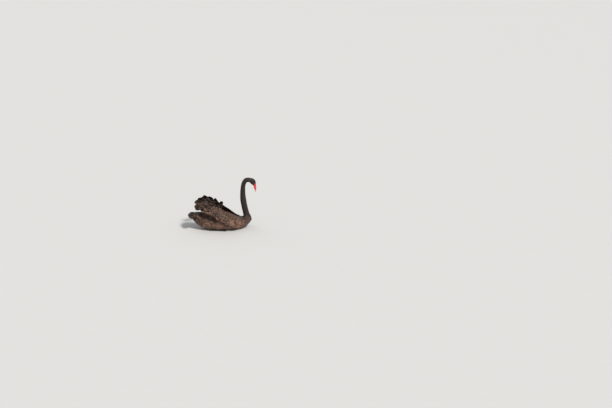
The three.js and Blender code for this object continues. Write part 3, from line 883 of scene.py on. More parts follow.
class SwanSizes(bpy.types.PropertyGroup):
    """Sizes that a user would change."""

    voxel: length_property("Skin grain", "Size of a face of the skin", 0.0035)
    face_feather: length_property("Face feather", "Length of the smallest feathers", 0.0042)
    neck_feather: length_property("Neck feather", "Length of the feathers on the neck", 0.0098)
    body_feather: length_property("Body feather", "Length of the feathers on flank and back", 0.034)
    covert: length_property("Wing covert", "Length of the largest wing coverts", 0.056)
    plumes: IntProperty(name="Plumes", description="Curled plumes in each row", default=13)
    tail_feathers: IntProperty(name="Tail feathers", description="Feathers in the tail's fan", default=20)


class SwanColours(bpy.types.PropertyGroup):
    """Colours that a user would change."""

    body: colour_property("Body", "Ground colour of the body", (0.0315, 0.0160, 0.0108))
    neck: colour_property("Neck", "Ground colour of neck and head", (0.0225, 0.0165, 0.0150))
    # Partly painted light: this paler ground lies on the lower flank to lift the shade on the body's
    # underside
    flank: colour_property("Flank", "Ground colour of flank and belly", (0.125, 0.068, 0.048))
    fringe: colour_property("Fringe", "Pale edges of the feathers", (0.245, 0.150, 0.108))
    white: colour_property("White", "Flight feathers", (0.78, 0.76, 0.70))
    bill: colour_property("Bill", "Red of the bill and lores", (0.62, 0.035, 0.028))
    band: colour_property("Band", "Pale band and nail of the bill", (0.80, 0.50, 0.47))
    iris: colour_property("Iris", "Red of the eye", (0.26, 0.012, 0.007))
    scales: colour_property("Scales", "Legs and webs", (0.022, 0.022, 0.024))
    floor: colour_property("Floor", "Pale floor", (0.60, 0.60, 0.595))


class SWAN_OT_skin(bpy.types.Operator):
    """Make the one skin of trunk, neck, head, wings and tail"""

    bl_idname = "swan.skin"
    bl_label = "Skin"

    def execute(self, context):
        sizes, colours = context.scene.swan_sizes, context.scene.swan_colours
        parts = [
            closed_rings(ring_grid(trunk_surface, 120, 120, DEPTH["trunk"])),
            closed_rings(ring_grid(neck_surface, 160, 48, DEPTH["neck"], start=0.0, end=1.0)),
            closed_rings(ring_grid(head_surface, 60, 60, DEPTH["head"])),
            closed_rings(ring_grid(tail_surface, 40, 60, DEPTH["tail"])),
            closed_rings(ring_grid(face_surface, 40, 60, DEPTH["head"], start=0.0, end=1.0)),
        ]
        for side, _ in SIDES:
            parts.append(closed_rings(mirrored(ring_grid(wing_surface, 90, 60, DEPTH["wing"]), side)))
            parts.append(closed_rings(mirrored(ring_grid(web_surface, 70, 40, DEPTH["web"]), side)))
        parts = [(magnified(points), faces) for points, faces in parts]
        rough = solid_piece("rough_skin", parts, bpy.data.materials.new("rough"))
        join = rough.modifiers.new("join", "REMESH")
        join.mode, join.voxel_size = "VOXEL", sizes.voxel
        seen = rough.evaluated_get(context.evaluated_depsgraph_get())
        mesh = bpy.data.meshes.new_from_object(seen)
        bpy.data.objects.remove(rough)
        points, _, edges, triangles = mesh_arrays(mesh)
        points = magnified(points, back=True)
        share = 0.15 + 0.35 * (points[:, 2] < 0.44)
        points = relaxed(points, edges, share, 4)
        fold = np.linalg.norm(points - place(0, 240, DRAUGHT + 60), axis=1) / MM
        face = np.linalg.norm(points - in_head(0, 30, 4), axis=1) / MM
        nape = np.linalg.norm(points - in_head(0, -44, 10), axis=1) / MM
        shoulder = np.abs(-points[:, 1] / MM - 110)
        low = points[:, 2] < 0.3
        points = filled(points, edges, triangles, 0.4 * smooth(150, 90, shoulder) * low, 120)
        points = filled(points, edges, triangles, 0.5 * smooth(160, 110, fold), 420)
        points = filled(points, edges, triangles, 0.5 * smooth(55, 35, face), 40)
        points = filled(points, edges, triangles, 0.5 * smooth(60, 38, nape), 800)
        points = relaxed(points, edges, 0.5 * smooth(170, 110, fold), 80)
        points = relaxed(points, edges, 0.45 * smooth(52, 34, face), 16)
        points = cut_flat(points, "skin")
        mesh.vertices.foreach_set("co", points.ravel())
        self.refine_round_eyes(mesh)
        points = lidded(mesh_arrays(mesh)[0])
        mesh.vertices.foreach_set("co", points.ravel())
        mesh.update()
        mesh.materials.clear()
        skin = new_piece("skin", mesh, skin_material())
        mesh.polygons.foreach_set("use_smooth", [True] * len(mesh.polygons))
        # The skin takes the same ground colour, with its painted light on the lower flank, at seven tenths
        ground, _ = markings_and_flank_light(points, colours)
        red = lores(points)[:, None]
        tint = mix(ground * 0.7, np.array(colours.bill) * 0.95, red)
        for side, _ in SIDES:
            rim = np.exp(-(((lid_ring(points, side) - 5.3) / 0.7) ** 2))[:, None]
            tint = mix(tint, np.array((0.11, 0.05, 0.045)), 0.8 * rim)
        point_values(mesh, "Tint", tint)
        point_values(mesh, "Bare", red[:, 0])
        flesh = ["trunk", "neck_lower", "neck_middle", "neck_upper", "head", "wing_left", "wing_right"]
        settled(skin, "body_plumage", *flesh)
        Skin.points, Skin.normals, _, Skin.triangles = mesh_arrays(mesh)
        regions = region_of(Skin.points)
        front = np.isin(regions, (REGIONS["wing_left"], REGIONS["wing_right"])) & (Skin.points[:, 1] < -0.16)
        Skin.regions = np.where(front, REGIONS["trunk"], regions)
        Skin.tree = BVHTree.FromPolygons(Skin.points.tolist(), Skin.triangles.tolist())
        return {"FINISHED"}

    @staticmethod
    def refine_round_eyes(mesh):
        """Divides the skin's faces round the eyes, so that the lids have points enough."""
        work = bmesh.new()
        work.from_mesh(mesh)
        for reach in (17.0, 10.5):
            centres = [Vector(eye_centre(side)) for side, _ in SIDES]
            near = [e for e in work.edges if min((e.verts[0].co - c).length for c in centres) < reach * MM]
            bmesh.ops.subdivide_edges(work, edges=near, cuts=1, use_grid_fill=True)
        bmesh.ops.triangulate(work, faces=[f for f in work.faces if len(f.verts) > 4])
        work.to_mesh(mesh)
        work.free()


# The roots' grids have cells of a few sizes, each larger than the last by this factor
CELL_STEP = 1.12


def rooted(wanted, spacing, rng, keep=None):
    """Spreads feather roots evenly over the skin's wanted regions, and gives their places and normals.

    Random places on the triangles are thinned: of the places in one cell of a grid, one stays, for eight
    grids shifted by half a cell, whose cell is the spacing wanted there."""
    corners = Skin.triangles[np.isin(Skin.regions[Skin.triangles], wanted).all(1)]
    a, b, c = (Skin.points[corners[:, i]] for i in range(3))
    area = np.linalg.norm(np.cross(b - a, c - a), axis=1) / 2
    step = spacing((a + b + c) / 3)
    weight = area / step**2
    count = int(weight.sum() * 5)
    chosen = rng.choice(len(corners), count, p=weight / weight.sum())
    u, v = rng.random((2, count))
    flip = u + v > 1
    u, v = np.where(flip, 1 - u, u)[:, None], np.where(flip, 1 - v, v)[:, None]
    places = a[chosen] * (1 - u - v) + b[chosen] * u + c[chosen] * v
    na, nb, nc = (Skin.normals[corners[chosen, i]] for i in range(3))
    normals = unit(na * (1 - u - v) + nb * u + nc * v)
    if keep is not None:
        held = keep(places)
        places, normals = places[held], normals[held]
    size = np.round(np.log(spacing(places)) / math.log(CELL_STEP))
    cell = CELL_STEP**size
    alive = np.arange(len(places))
    for shift in np.ndindex(2, 2, 2):
        keys = np.floor(places[alive] / cell[alive, None] + np.array(shift) / 2).astype(np.int64)
        keys = np.column_stack([keys, size[alive].astype(np.int64)])
        _, first = np.unique(keys, axis=0, return_index=True)
        alive = alive[np.sort(first)]
    return places[alive], normals[alive]


def lie(points, normals):
    """The way that feathers point: back from the bill, down the neck, and rearwards over the body."""
    t, _ = neck_place(points)
    _, run, _ = neck_frame(t)
    neck = neckness(points)[:, None]
    ahead = -points[:, 1] / MM
    up = points[:, 2] / MM
    falling = smooth(170, 300, ahead)[:, None] * np.array([0, 0, -1.0]) * 1.2
    sides = np.stack([np.sign(points[:, 0]) * 0.10, 0 * ahead, -0.12 + 0 * ahead], -1)
    body = unit(np.array([0, 1.0, 0]) + falling + sides)
    along, _ = head_place(points)
    head = smooth(-40, -10, along)[:, None] * (t > 0.8)[:, None]
    flow = mix(body, -run, neck)
    flow = mix(flow, -head_run[None], head)
    flow = flow - (flow * normals).sum(1, keepdims=True) * normals
    return unit(flow + 1e-6)


def settle_on_skin(root, run, up, length):
    """The bend that lays each feather along the skin: twice the skin's fall under its tip over its length."""
    ahead = root + run * length[:, None] * 0.8
    near = np.array([Skin.tree.find_nearest(p)[0] for p in ahead.tolist()])
    fall = ((near - root) * up).sum(1)
    return np.clip(2 * fall / (0.8 * length), -1.2, 0.6)


def turned(vectors, axes, angles):
    """Each vector turned about its axis, which is square to it, by its angle."""
    return vectors * np.cos(angles)[:, None] + np.cross(axes, vectors) * np.sin(angles)[:, None]


def round_body(points):
    """Places on an unwrap of the body: the angle round its spine, and the way along it."""
    ahead = -points[:, 1] / MM
    high = points[:, 2] / MM - DRAUGHT - trunk_spine(ahead)
    return np.column_stack([np.arctan2(high, points[:, 0] / MM) / TURN + 0.5, ahead])


def round_neck(points):
    """Places on an unwrap of the neck: the angle round its line, and the way along it."""
    t, _ = neck_place(points)
    centre, _, outward = neck_frame(t)
    away = points - centre
    return np.column_stack([np.arctan2(away[:, 0], (away * outward).sum(1)) / TURN + 0.5, t])


def round_head(points):
    """Places on an unwrap of the head: the angle round its run, and the way along it."""
    along, rise = head_place(points)
    return np.column_stack([np.arctan2(rise, points[:, 0] / MM) / TURN + 0.5, along])


def body_coat(places, normals, length, rng, colours, unwrap, lift, spread, ratio, **more):
    """A table of small feathers rooted on the skin, which lie along it and overlap."""
    count = len(places)
    run = turned(lie(places, normals), normals, rng.normal(0, 0.12, count))
    length = length * np.exp(rng.normal(0, 0.1, count))
    bend = settle_on_skin(places, run, normals, length) - 0.75 * lift
    table = feather_set(
        places - normals * 0.02 * length[:, None],
        run,
        normals,
        length,
        length * ratio * rng.uniform(0.9, 1.1, count),
        lift=lift * rng.uniform(0.7, 1.35, count),
        bend=bend,
        roll=rng.normal(0, 0.10, count),
        **more,
    )
    table["atlas"] = unwrap(places)
    return coloured(table, colours, rng, spread)


class SWAN_OT_head_coat(bpy.types.Operator):
    """Cover the head with the smallest feathers, leaving eyes and lores bare"""

    bl_idname = "swan.head_coat"
    bl_label = "Head coat"

    def execute(self, context):
        sizes, colours = context.scene.swan_sizes, context.scene.swan_colours
        rng = np.random.default_rng(11)

        def size(points):
            along, _ = head_place(points)
            return sizes.face_feather * (1 + 1.1 * smooth(20, -45, along))

        def covered(points):
            open_skin = lores(points) < 0.4
            for side, _ in SIDES:
                open_skin &= lid_ring(points, side) > 6.7
            along, _ = head_place(points)
            return open_skin & (along > -46)

        places, normals = rooted([REGIONS["head"]], lambda p: size(p) * 0.2, rng, covered)
        shape = {"lift": 0.08, "spread": 0.15, "ratio": 0.36, "thick": 0.12 * MM, "tip": 0.4}
        table = body_coat(places, normals, size(places), rng, colours, round_head, **shape)
        material = feather_material("head_feathers", barbs=4.0, shaft=0.1, fringe=0.3, sheen=0.15, bump=0.15)
        coat = coat_piece("head_coat", table, (0, 0.5, 1), SMALL_RING, material)
        settled(coat, "neck_plumage")
        return {"FINISHED"}


class SWAN_OT_neck_coat(bpy.types.Operator):
    """Cover the neck with short dense feathers that grow towards the breast"""

    bl_idname = "swan.neck_coat"
    bl_label = "Neck coat"

    def execute(self, context):
        sizes, colours = context.scene.swan_sizes, context.scene.swan_colours
        rng = np.random.default_rng(12)

        def size(points):
            t, _ = neck_place(points)
            return sizes.neck_feather * (0.8 + 0.25 * smooth(0.9, 0.3, t) + 0.6 * smooth(0.25, 0.05, t))

        places, normals = rooted([REGIONS["neck"]], lambda p: size(p) * 0.165, rng)
        shape = {"lift": 0.09, "spread": 0.17, "ratio": 0.33, "thick": 0.15 * MM, "tip": 0.35}
        table = body_coat(places, normals, size(places), rng, colours, round_neck, **shape)
        material = feather_material("neck_feathers", barbs=6.0, shaft=0.12, fringe=0.3, sheen=0.15, bump=0.2)
        t = table["atlas"][:, 1]
        for name, low, high in (("upper", 0.72, 1.1), ("middle", 0.4, 0.72), ("lower", -0.1, 0.4)):
            part = {key: value[(t >= low) & (t < high)] for key, value in table.items()}
            piece = coat_piece(f"neck_coat_{name}", part, (0, 0.4, 0.8, 1), SMALL_RING, material)
            settled(piece, "neck_plumage")
        return {"FINISHED"}


class SWAN_OT_body_coat(bpy.types.Operator):
    """Cover breast, belly, flanks, back and rump with overlapping contour feathers"""

    bl_idname = "swan.body_coat"
    bl_label = "Body coat"

    def execute(self, context):
        sizes, colours = context.scene.swan_sizes, context.scene.swan_colours
        rng = np.random.default_rng(13)

        def size(points):
            ahead = -points[:, 1] / MM
            front = smooth(40, 285, ahead)
            near_neck = neckness(points)
            return sizes.body_feather * (1 - 0.5 * front) * (1 - 0.5 * near_neck)

        def off_the_tails_end(points):
            ahead, aside = -points[:, 1] / MM, np.abs(points[:, 0]) / MM
            return (ahead > TAIL["tip"] + 60) & ((ahead > TAIL["root"] - 38) | (aside < 46))

        wanted = [REGIONS["trunk"], REGIONS["tail"]]
        places, normals = rooted(wanted, lambda p: size(p) * 0.17, rng, off_the_tails_end)
        shape = {"lift": 0.12, "spread": 0.4, "ratio": 0.74, "tip": 0.5}
        table = body_coat(places, normals, size(places), rng, colours, round_body, **shape)
        material = feather_material("body_feathers", barbs=16.0, shaft=0.25, fringe=0.3, sheen=0.1)
        ahead = -places[:, 1] / MM
        cuts = (("breast_coat", 130, 400), ("flank_coat", -60, 130), ("rump_coat", -400, -60))
        for name, low, high in cuts:
            chosen = (ahead >= low) & (ahead < high)
            part = {key: value[chosen] for key, value in table.items()}
            piece = coat_piece(name, part, (0, 0.35, 0.65, 0.85, 0.96, 1), LENS_RING, material)
            settled(piece, "body_plumage")
        return {"FINISHED"}


def wing_frame(t, across, side, inner):
    """Places on the wing's outer or inner face, with its rearward run and outward normal there."""
    thick = WING["thickness"] * (1 - WING["thinning"] * t) - DEPTH["wing"]
    out = thick * np.sqrt(np.clip(1 - across**2, 0, 1)) * (-1 if inner else 1)
    here = wing_point(t, across, out)
    later = wing_point(np.clip(t + 0.004, 0, 1), across, out)
    beside = wing_point(t, np.clip(across + 0.02, -1.2, 1.2), out)
    run, aside = unit(later - here), unit(beside - here)
    normal = unit(np.cross(run, aside))
    normal = normal * np.sign((normal * (here - wing_point(t, across, out - 4))).sum(-1, keepdims=True))
    if inner:
        normal = -normal
    return mirrored(here, side), mirrored(run, side), mirrored(normal, side)


class SWAN_OT_wing_coat(bpy.types.Operator):
    """Cover both faces of each wing with coverts in rows, small in front and large behind"""

    bl_idname = "swan.wing_coat"
    bl_label = "Wing coats"

    def execute(self, context):
        sizes, colours = context.scene.swan_sizes, context.scene.swan_colours
        look = {"barbs": 34.0, "shaft": 0.2, "fringe": 0.34, "sheen": 0.08, "bump": 0.4}
        material = feather_material("covert_feathers", **look)
        for side, word in SIDES:
            rng = np.random.default_rng(20 + side)
            tables = []
            for inner in (False, True):
                t, across = self.rows(rng, inner)
                root, run, normal = wing_frame(t, across, side, inner)
                found = [Skin.tree.find_nearest(p) for p in root.tolist()]
                agreed = (np.array([f[1] for f in found]) * normal).sum(1) > 0.35
                open_skin = agreed & (np.array([f[3] for f in found]) < 6 * MM)
                if inner:
                    open_skin &= (across > -0.5) | (t > 0.76)
                root, run, normal, t, across = (part[open_skin] for part in (root, run, normal, t, across))
                count = len(root)
                back = smooth(0.05, 0.75, t)
                length = sizes.covert * (0.36 + 0.64 * back) * (1 - 0.3 * smooth(0.2, 1, across))
                length = length * np.exp(rng.normal(0, 0.1, count)) * (0.85 if inner else 1)
                run = turned(run, normal, side * (-0.12 + 0.16 * across) + rng.normal(0, 0.13, count))
                ruffled = smooth(0.35, 0.85, t) * (0.35 if inner else 1)
                table = feather_set(
                    root,
                    run,
                    normal,
                    length,
                    length * rng.uniform(0.5, 0.64, count),
                    lift=0.13 + rng.gamma(2.0, 0.06, count) * ruffled,
                    bend=-0.12 + rng.normal(0, 0.22, count) * ruffled,
                    roll=rng.normal(0, 0.08 + 0.2 * ruffled, count),
                    twist=rng.normal(0, 0.5, count) * ruffled,
                    wave=(0.4 + 2.0 * ruffled) * MM * rng.random(count),
                    waves=rng.uniform(0.8, 2.2, count),
                    phase=rng.uniform(0, TURN, count),
                    camber=0.24,
                    thick=0.3 * MM,
                    tip=rng.uniform(0.45, 0.6, count),
                )
                table["atlas"] = np.column_stack([across + (2.4 if inner else 0), t])
                tables.append(coloured(table, colours, rng, 0.48, 0.6 if inner else 1.0))
            stations = (0, 0.15, 0.35, 0.55, 0.75, 0.9, 1)
            piece = coat_piece(f"wing_coat_{word}", joined_sets(*tables), stations, BROAD_RING, material)
            settled(piece, "body_plumage")
        return {"FINISHED"}

    @staticmethod
    def rows(rng, inner):
        """Roots in staggered rows across the wing; the rows stand further apart towards the rear."""
        t_all, across_all = [], []
        t = 0.16 if inner else 0.07
        row = 0
        while t < 0.97:
            count = int(mix(13, 9, float(smooth(0.1, 0.7, t))))
            a = (np.arange(count) + 0.5 * (row % 2) + 0.25) / count * 2 - 1
            a = a + rng.normal(0, 0.3 / count, count)
            t_all.append(np.clip(t + rng.normal(0, 0.006, count), 0.03, 0.975))
            across_all.append(np.clip(a, -0.99, 0.99))
            t += mix(0.013, 0.026, float(smooth(0.1, 0.8, t))) * (1.3 if inner else 1)
            row += 1
        return np.concatenate(t_all), np.concatenate(across_all)


def headed(heading, pitch):
    """A run and its up from a heading and a pitch; heading 0 is ahead, and half a turn is rearwards."""
    flat = np.cos(pitch)
    run = unit(place(np.sin(heading) * flat, np.cos(heading) * flat, np.sin(pitch)))
    level = unit(np.cross(run, np.array([0, 0, 1.0])))
    return run, np.cross(level, run)


class SWAN_OT_plumes(bpy.types.Operator):
    """Raise the curled plumes along the upper rear edge of each wing"""

    bl_idname = "swan.plumes"
    bl_label = "Plumes"

    def execute(self, context):
        sizes, colours = context.scene.swan_sizes, context.scene.swan_colours
        material = feather_material("plume_feathers", barbs=40.0, shaft=0.25, fringe=0.22, sheen=0.08)
        for side, word in SIDES:
            rng = np.random.default_rng(40 + side)
            rows = [self.row(side, round(sizes.plumes * row[0]), rng, *row[2:]) for row in self.ROWS]
            tables = [coloured(table, colours, rng, 0.4, row[1]) for table, row in zip(rows, self.ROWS)]
            table = joined_sets(*tables)
            stations = np.linspace(0, 1, 15) ** 0.9
            piece = coat_piece(f"plume_coat_{word}", table, stations, self.RING, material)
            settled(piece, "body_plumage", f"plumes_{word}")
        return {"FINISHED"}

    RING = tuple((a, 1 if abs(a) < 1 else 0) for a in np.linspace(-1, 1, 9)) + tuple(
        (a, -1) for a in np.linspace(1, -1, 9)[1:-1]
    )
    # Each row: share of the full count, tone, place across the wing, heading aside, pitch in front and
    # behind, curl, length, width, roll
    ROWS = (
        (0.5, 0.14, 1.06, -4, 84, 60, -40, 70, 36, 74),
        (0.8, 0.24, 1.04, 4, 62, 44, -70, 72, 34, 50),
        (1.0, 0.26, 1.02, 34, 48, 32, -100, 82, 36, 36),
        (1.0, 0.30, 0.84, 24, 40, 26, -88, 86, 36, 26),
        (1.0, 0.36, 0.62, 30, 34, 22, -76, 84, 35, 28),
        (1.0, 0.46, 0.36, 14, 28, 14, -58, 82, 35, 26),
        (0.8, 0.26, 0.90, -28, 42, 28, -60, 64, 32, -34),
    )

    @staticmethod
    def row(side, count, rng, across, heading, front, rear, curl, length, width, roll):
        """One row of plumes along the wing's edge, each a little different from the next."""
        f = (np.arange(count) + rng.normal(0, 0.16, count)) / (count - 1)
        t = np.clip(mix(0.54, 0.95, f), 0.5, 0.96)
        root = mirrored(wing_point(t, across + 0 * t, 1 + 0 * t), side)
        pitch = np.radians(mix(front, rear, f) + rng.normal(0, 7, count))
        run, up = headed(np.pi - side * np.radians(heading + rng.normal(0, 9, count)), pitch)
        up = turned(up, run, side * np.radians(roll + rng.normal(0, 12, count)))
        fullness = (0.62 + 0.4 * np.sin(np.pi * np.clip(f, 0, 1) ** 0.8)) * rng.uniform(0.86, 1.12, count)
        table = feather_set(
            root,
            run,
            up,
            length * MM * fullness,
            width * MM * rng.uniform(0.8, 1.1, count),
            lift=0.0,
            bend=np.radians(0.6 * curl * rng.uniform(0.7, 1.3, count)),
            curl=np.radians(curl * rng.uniform(0.2, 1.0, count)),
            roll=rng.normal(0, 0.1, count),
            twist=-side * rng.normal(0.25, 0.5, count),
            wave=rng.uniform(1.6, 4.2, count) * MM,
            waves=rng.uniform(1.4, 3.0, count),
            phase=rng.uniform(0, TURN, count),
            camber=rng.uniform(0.1, 0.4, count),
            thick=0.45 * MM,
            tip=rng.uniform(0.45, 0.66, count),
        )
        table["atlas"] = np.column_stack([across + heading / 90 + 0 * t, t])
        return table


class SWAN_OT_primaries(bpy.types.Operator):
    """Stack the white flight feathers inside each wing"""

    bl_idname = "swan.primaries"
    bl_label = "Primaries"

    def execute(self, context):
        colours = context.scene.swan_colours
        material = feather_material("white_feathers", barbs=70.0, shaft=0.6, fringe=0.08, sheen=0.05)
        for side, word in SIDES:
            count = PRIMARIES["count"]
            i = np.arange(count)
            f = i / (count - 1)
            length = PRIMARIES["length"] * MM * (1 - 0.045 * i)
            run, up = headed(np.pi + side * np.radians(12.5 + 0.4 * i), np.radians(18.0 - 0.9 * i))
            aside, ahead, high = PRIMARIES["aside"], PRIMARIES["ahead"], PRIMARIES["up"]
            root = place(side * (aside + 0.6 * i), ahead + 3.0 * i, high - 0.8 * i)
            roll = -side * (1.02 - 0.02 * i)
            shape = {"lift": 0.0, "bend": 0.06, "camber": 0.22, "thick": 0.6 * MM, "tip": 0.78}
            table = feather_set(root, run, up, length, PRIMARIES["width"] * MM, roll=roll, **shape)
            table["atlas"] = np.column_stack([f, length])
            table["tint"] = np.tile(np.array(colours.white), (count, 1)) * mix(1.0, 0.86, f[:, None])
            table["pale"] = np.clip(table["tint"] * 1.05, 0, 1)
            table["fringe"] = np.full(count, 0.3)
            piece = coat_piece(f"flight_feathers_{word}", table, np.linspace(0, 1, 14), BROAD_RING, material)
            settled(piece, "white_flight_feathers", f"primaries_{word}")
        return {"FINISHED"}


class SWAN_OT_tail(bpy.types.Operator):
    """Fan the tail feathers over their coverts"""

    bl_idname = "swan.tail"
    bl_label = "Tail"
    # Each layer: share of the tail's reach, spread, height over the middle, pitch, distance ahead of the root
    LAYERS = (
        (1.0, 27, 1.0, -2.5, 0),
        (0.97, 26, -1.5, -3.0, 0),
        (0.86, 26, 3.0, -3.5, 4),
        (0.84, 25, -5.0, -1.5, 8),
        (0.72, 25, 5.0, -5.0, 4),
        (0.70, 24, -9.0, 1.0, 18),
    )

    def execute(self, context):
        sizes, colours = context.scene.swan_sizes, context.scene.swan_colours
        rng = np.random.default_rng(60)
        tables = []
        for layer, (reach, spread, rise, pitch, ahead) in enumerate(self.LAYERS):
            count = sizes.tail_feathers - layer
            f = np.linspace(-1, 1, count) + rng.normal(0, 0.02, count)
            stacked = (1 - np.abs(f)) * 3.0 * (1 if rise > 0 else -1)
            root = place(f * 34, TAIL["root"] + ahead, TAIL["up"] + rise - 4 * np.abs(f) + stacked)
            run, up = headed(np.pi - np.radians(f * spread), np.radians(pitch + rng.normal(0, 0.5, count)))
            length = (TAIL["root"] - TAIL["tip"] + ahead) * MM * reach * (1 - 0.1 * f**2)
            length = length * rng.uniform(0.96, 1.0, count)
            table = feather_set(
                root,
                run,
                up,
                length,
                (30 - 1.2 * layer) * MM,
                lift=0.0,
                bend=np.radians((-3 if rise > 0 else 4) + rng.normal(0, 2, count)),
                roll=-np.radians(f * 12 + rng.normal(0, 2, count)) + (0 if rise > 0 else np.pi),
                wave=0.5 * MM * rng.random(count),
                phase=rng.uniform(0, TURN, count),
                camber=0.14,
                thick=0.4 * MM,
                tip=0.74,
            )
            table["atlas"] = np.column_stack([f, np.full(count, float(layer))])
            tables.append(coloured(table, colours, rng, 0.3, 0.44 + 0.03 * layer))
        material = feather_material("tail_feathers", barbs=44.0, shaft=0.5, fringe=0.1, sheen=0.2)
        piece = coat_piece("tail_coat", joined_sets(*tables), np.linspace(0, 1, 13), BROAD_RING, material)
        settled(piece, "body_plumage", "tail")
        return {"FINISHED"}


ridge = profile((0, 20), (0.25, 16.2), (0.5, 12.6), (0.8, 9.5), (1, 7.5))
bill_width = profile((0, 0.86), (0.3, 0.9), (0.6, 0.97), (0.85, 1.0), (1, 0.9))
bill_edge = profile((0, -3.5), (0.35, -2.6), (0.7, -3.2), (1, -4.6))
bill_floor = profile((0, 13), (0.3, 11.5), (0.7, 8.5), (1, 5.5))
NOSTRIL = 0.44


def bill_surface(t, angle, upper):
    """Half of the bill: rings from face to nail, domed above or troughed below a near flat inside.

    The upper half has a raised nail at its tip and a nostril hollow on each side."""
    part = (1 - np.cos(np.pi * t)) / 2
    swell = np.clip(np.sin(np.pi * t), 0, 1) ** np.where(part < 0.5, 0.3, 0.62)
    length = BILL_REACH if upper else BILL_REACH - 6
    wide = bill_width(part) * BILL["width"] / 2 * (1 if upper else 0.86)
    high, flat = np.sin(angle), oval(np.cos(angle), 0.8)
    outer = ridge(part) if upper else bill_floor(part)
    outside = high > 0 if upper else high < 0
    bulge = np.where(outside, outer, 0.4)
    if upper:
        nail = 1.1 * np.exp(-(((part - 0.95) / 0.055) ** 2) - (flat / 0.5) ** 4)
        slit = smooth(1.35, 0.5, np.hypot((part - NOSTRIL) / 0.055, (high - 0.6) / 0.13))
        bulge = bulge + np.where(outside, nail - 1.2 * slit, 0)
        wide = wide - 1.0 * slit * outside
    hook = 18 * np.maximum(0, part - 0.86) if upper else 0
    rise = bill_edge(part) - hook + oval(high, 0.9) * bulge * swell
    return in_bill(flat * wide * swell, part * length, rise)


def horn_material(colours):
    """Waxy red horn: a pale band and nail near the tip, faint veins, painted shade in the nostrils, and fine
    growth lines.
    """
    material, tree, shader = surface_material("bill_horn", roughness=0.33, coat=0.35, coat_roughness=0.12)
    cloud = noise(tree, (-700, -100), 90.0, 5.0)
    along = maths(tree, "MULTIPLY_ADD", (-500, 300), cloud, 0.05, attribute(tree, (-900, 300), "Along"))
    band_end = ramp(tree, along, 0.84, 0.90, (-300, 200), 1.0, 0.0)
    band = product(tree, (-100, 300), ramp(tree, along, 0.71, 0.76, (-300, 400)), band_end)
    nail = ramp(tree, along, 0.955, 0.985, (-300, 0))
    band, nail = product(tree, (-50, 100), band, 0.9), product(tree, (-50, 0), nail, 0.7)
    tone = blended(tree, cloud, *shades(colours.bill, 0.72, 1.3), (0, 500))
    colour = blended(tree, maths(tree, "MAXIMUM", (50, 200), band, nail), tone, colours.band, (250, 300))
    # Painted shade: the nostril slits are drawn near black, as the shade inside the openings
    hollow = attribute(tree, (0, -150), "NostrilShade")
    fed(tree, shader.inputs["Base Color"], blended(tree, hollow, colour, (0.05, 0.005, 0.004), (450, 200)))
    fed(tree, shader.inputs["Roughness"], ramp(tree, cloud, 0.3, 0.7, (250, -100), 0.26, 0.42))
    bumped(tree, shader, noise(tree, (-300, -350), 700.0), 0.12)
    return material


class SWAN_OT_bill(bpy.types.Operator):
    """Make the upper and the lower half of the bill"""

    bl_idname = "swan.bill"
    bl_label = "Bill"

    def execute(self, context):
        material = horn_material(context.scene.swan_colours)
        for name, upper, rows, columns in (("upper", True, 160, 128), ("lower", False, 96, 96)):
            rings = ring_grid(bill_surface, rows, columns, upper)
            piece = solid_piece(f"bill_{name}_horn", [closed_rings(rings)], material)
            mesh = piece.data
            away = (mesh_arrays(mesh)[0] - bill_root) / MM
            along, high = away @ bill_run / BILL_REACH, away @ bill_rise
            point_values(mesh, "Along", along)
            # The mask of the nostrils' painted shade: the slit, fading out round it
            level = bill_edge(NOSTRIL) + 0.6**0.9 * ridge(NOSTRIL)
            slit = smooth(1.2, 0.5, np.hypot((along - NOSTRIL) / 0.05, (high - level) / 1.3))
            point_values(mesh, "NostrilShade", slit * upper * (np.abs(away[:, 0]) > 2))
            settled(piece, "bill_horn", f"bill_{name}")
        return {"FINISHED"}


class SWAN_OT_eyes(bpy.types.Operator):
    """Set both eyes, with a red iris round a dark pupil"""

    bl_idname = "swan.eyes"
    bl_label = "Eyes"

    def execute(self, context):
        material = self.material(context.scene.swan_colours)
        for side, word in SIDES:
            rings = ring_grid(self.ball, 48, 48, side)
            piece = solid_piece(f"eyeball_{word}", [closed_rings(rings)], material)
            away = (mesh_arrays(piece.data)[0] - eye_centre(side)) / MM
            ahead, rise, rear = away @ head_run, away @ head_rise, away[:, 0] * side < 0
            point_values(piece.data, "Ring", np.hypot(ahead, rise) + 20 * rear)
            point_values(piece.data, "Turn", np.abs(np.arctan2(rise, ahead)))
            settled(piece, "eye", f"eye_{word}")
        return {"FINISHED"}

    @staticmethod
    def ball(t, angle, side):
        """Rings round the eye's axis from pole to pole: a sphere with a slightly raised cornea."""
        polar = np.pi * t
        radius = EYE["radius"] + 0.25 * np.exp(-((t / 0.16) ** 2))
        out, ahead = np.cos(polar), np.sin(polar) * np.cos(angle)
        rise = np.sin(polar) * np.sin(angle)
        way = ahead[..., None] * head_run + rise[..., None] * head_rise
        way[..., 0] += out * side
        return eye_centre(side) + radius[..., None] * way * MM

    @staticmethod
    def material(colours):
        """A wet eye: black pupil, a red iris with darker rim and fine spokes, and dark white round it."""
        material, tree, shader = surface_material("eye", roughness=0.06, specular=0.3)
        ring, turn = attribute(tree, (-900, 200), "Ring"), attribute(tree, (-900, -100), "Turn")
        spokes = maths(tree, "SINE", (-500, -100), product(tree, (-700, -100), turn, 40.0))
        spokes = maths(tree, "MULTIPLY_ADD", (-300, -100), spokes, 0.25, 0.5)
        tone = blended(tree, spokes, *shades(colours.iris, 0.6, 1.5), (-100, 0))
        tone = blended(tree, ramp(tree, ring, 3.4, 4.4, (-300, 400)), tone, (0.02, 0.004, 0.003), (100, 200))
        pupil = ramp(tree, ring, 1.9, 2.15, (-300, 200), 1.0, 0.0)
        fed(tree, shader.inputs["Base Color"], blended(tree, pupil, tone, (0.002, 0.002, 0.002), (300, 100)))
        return material


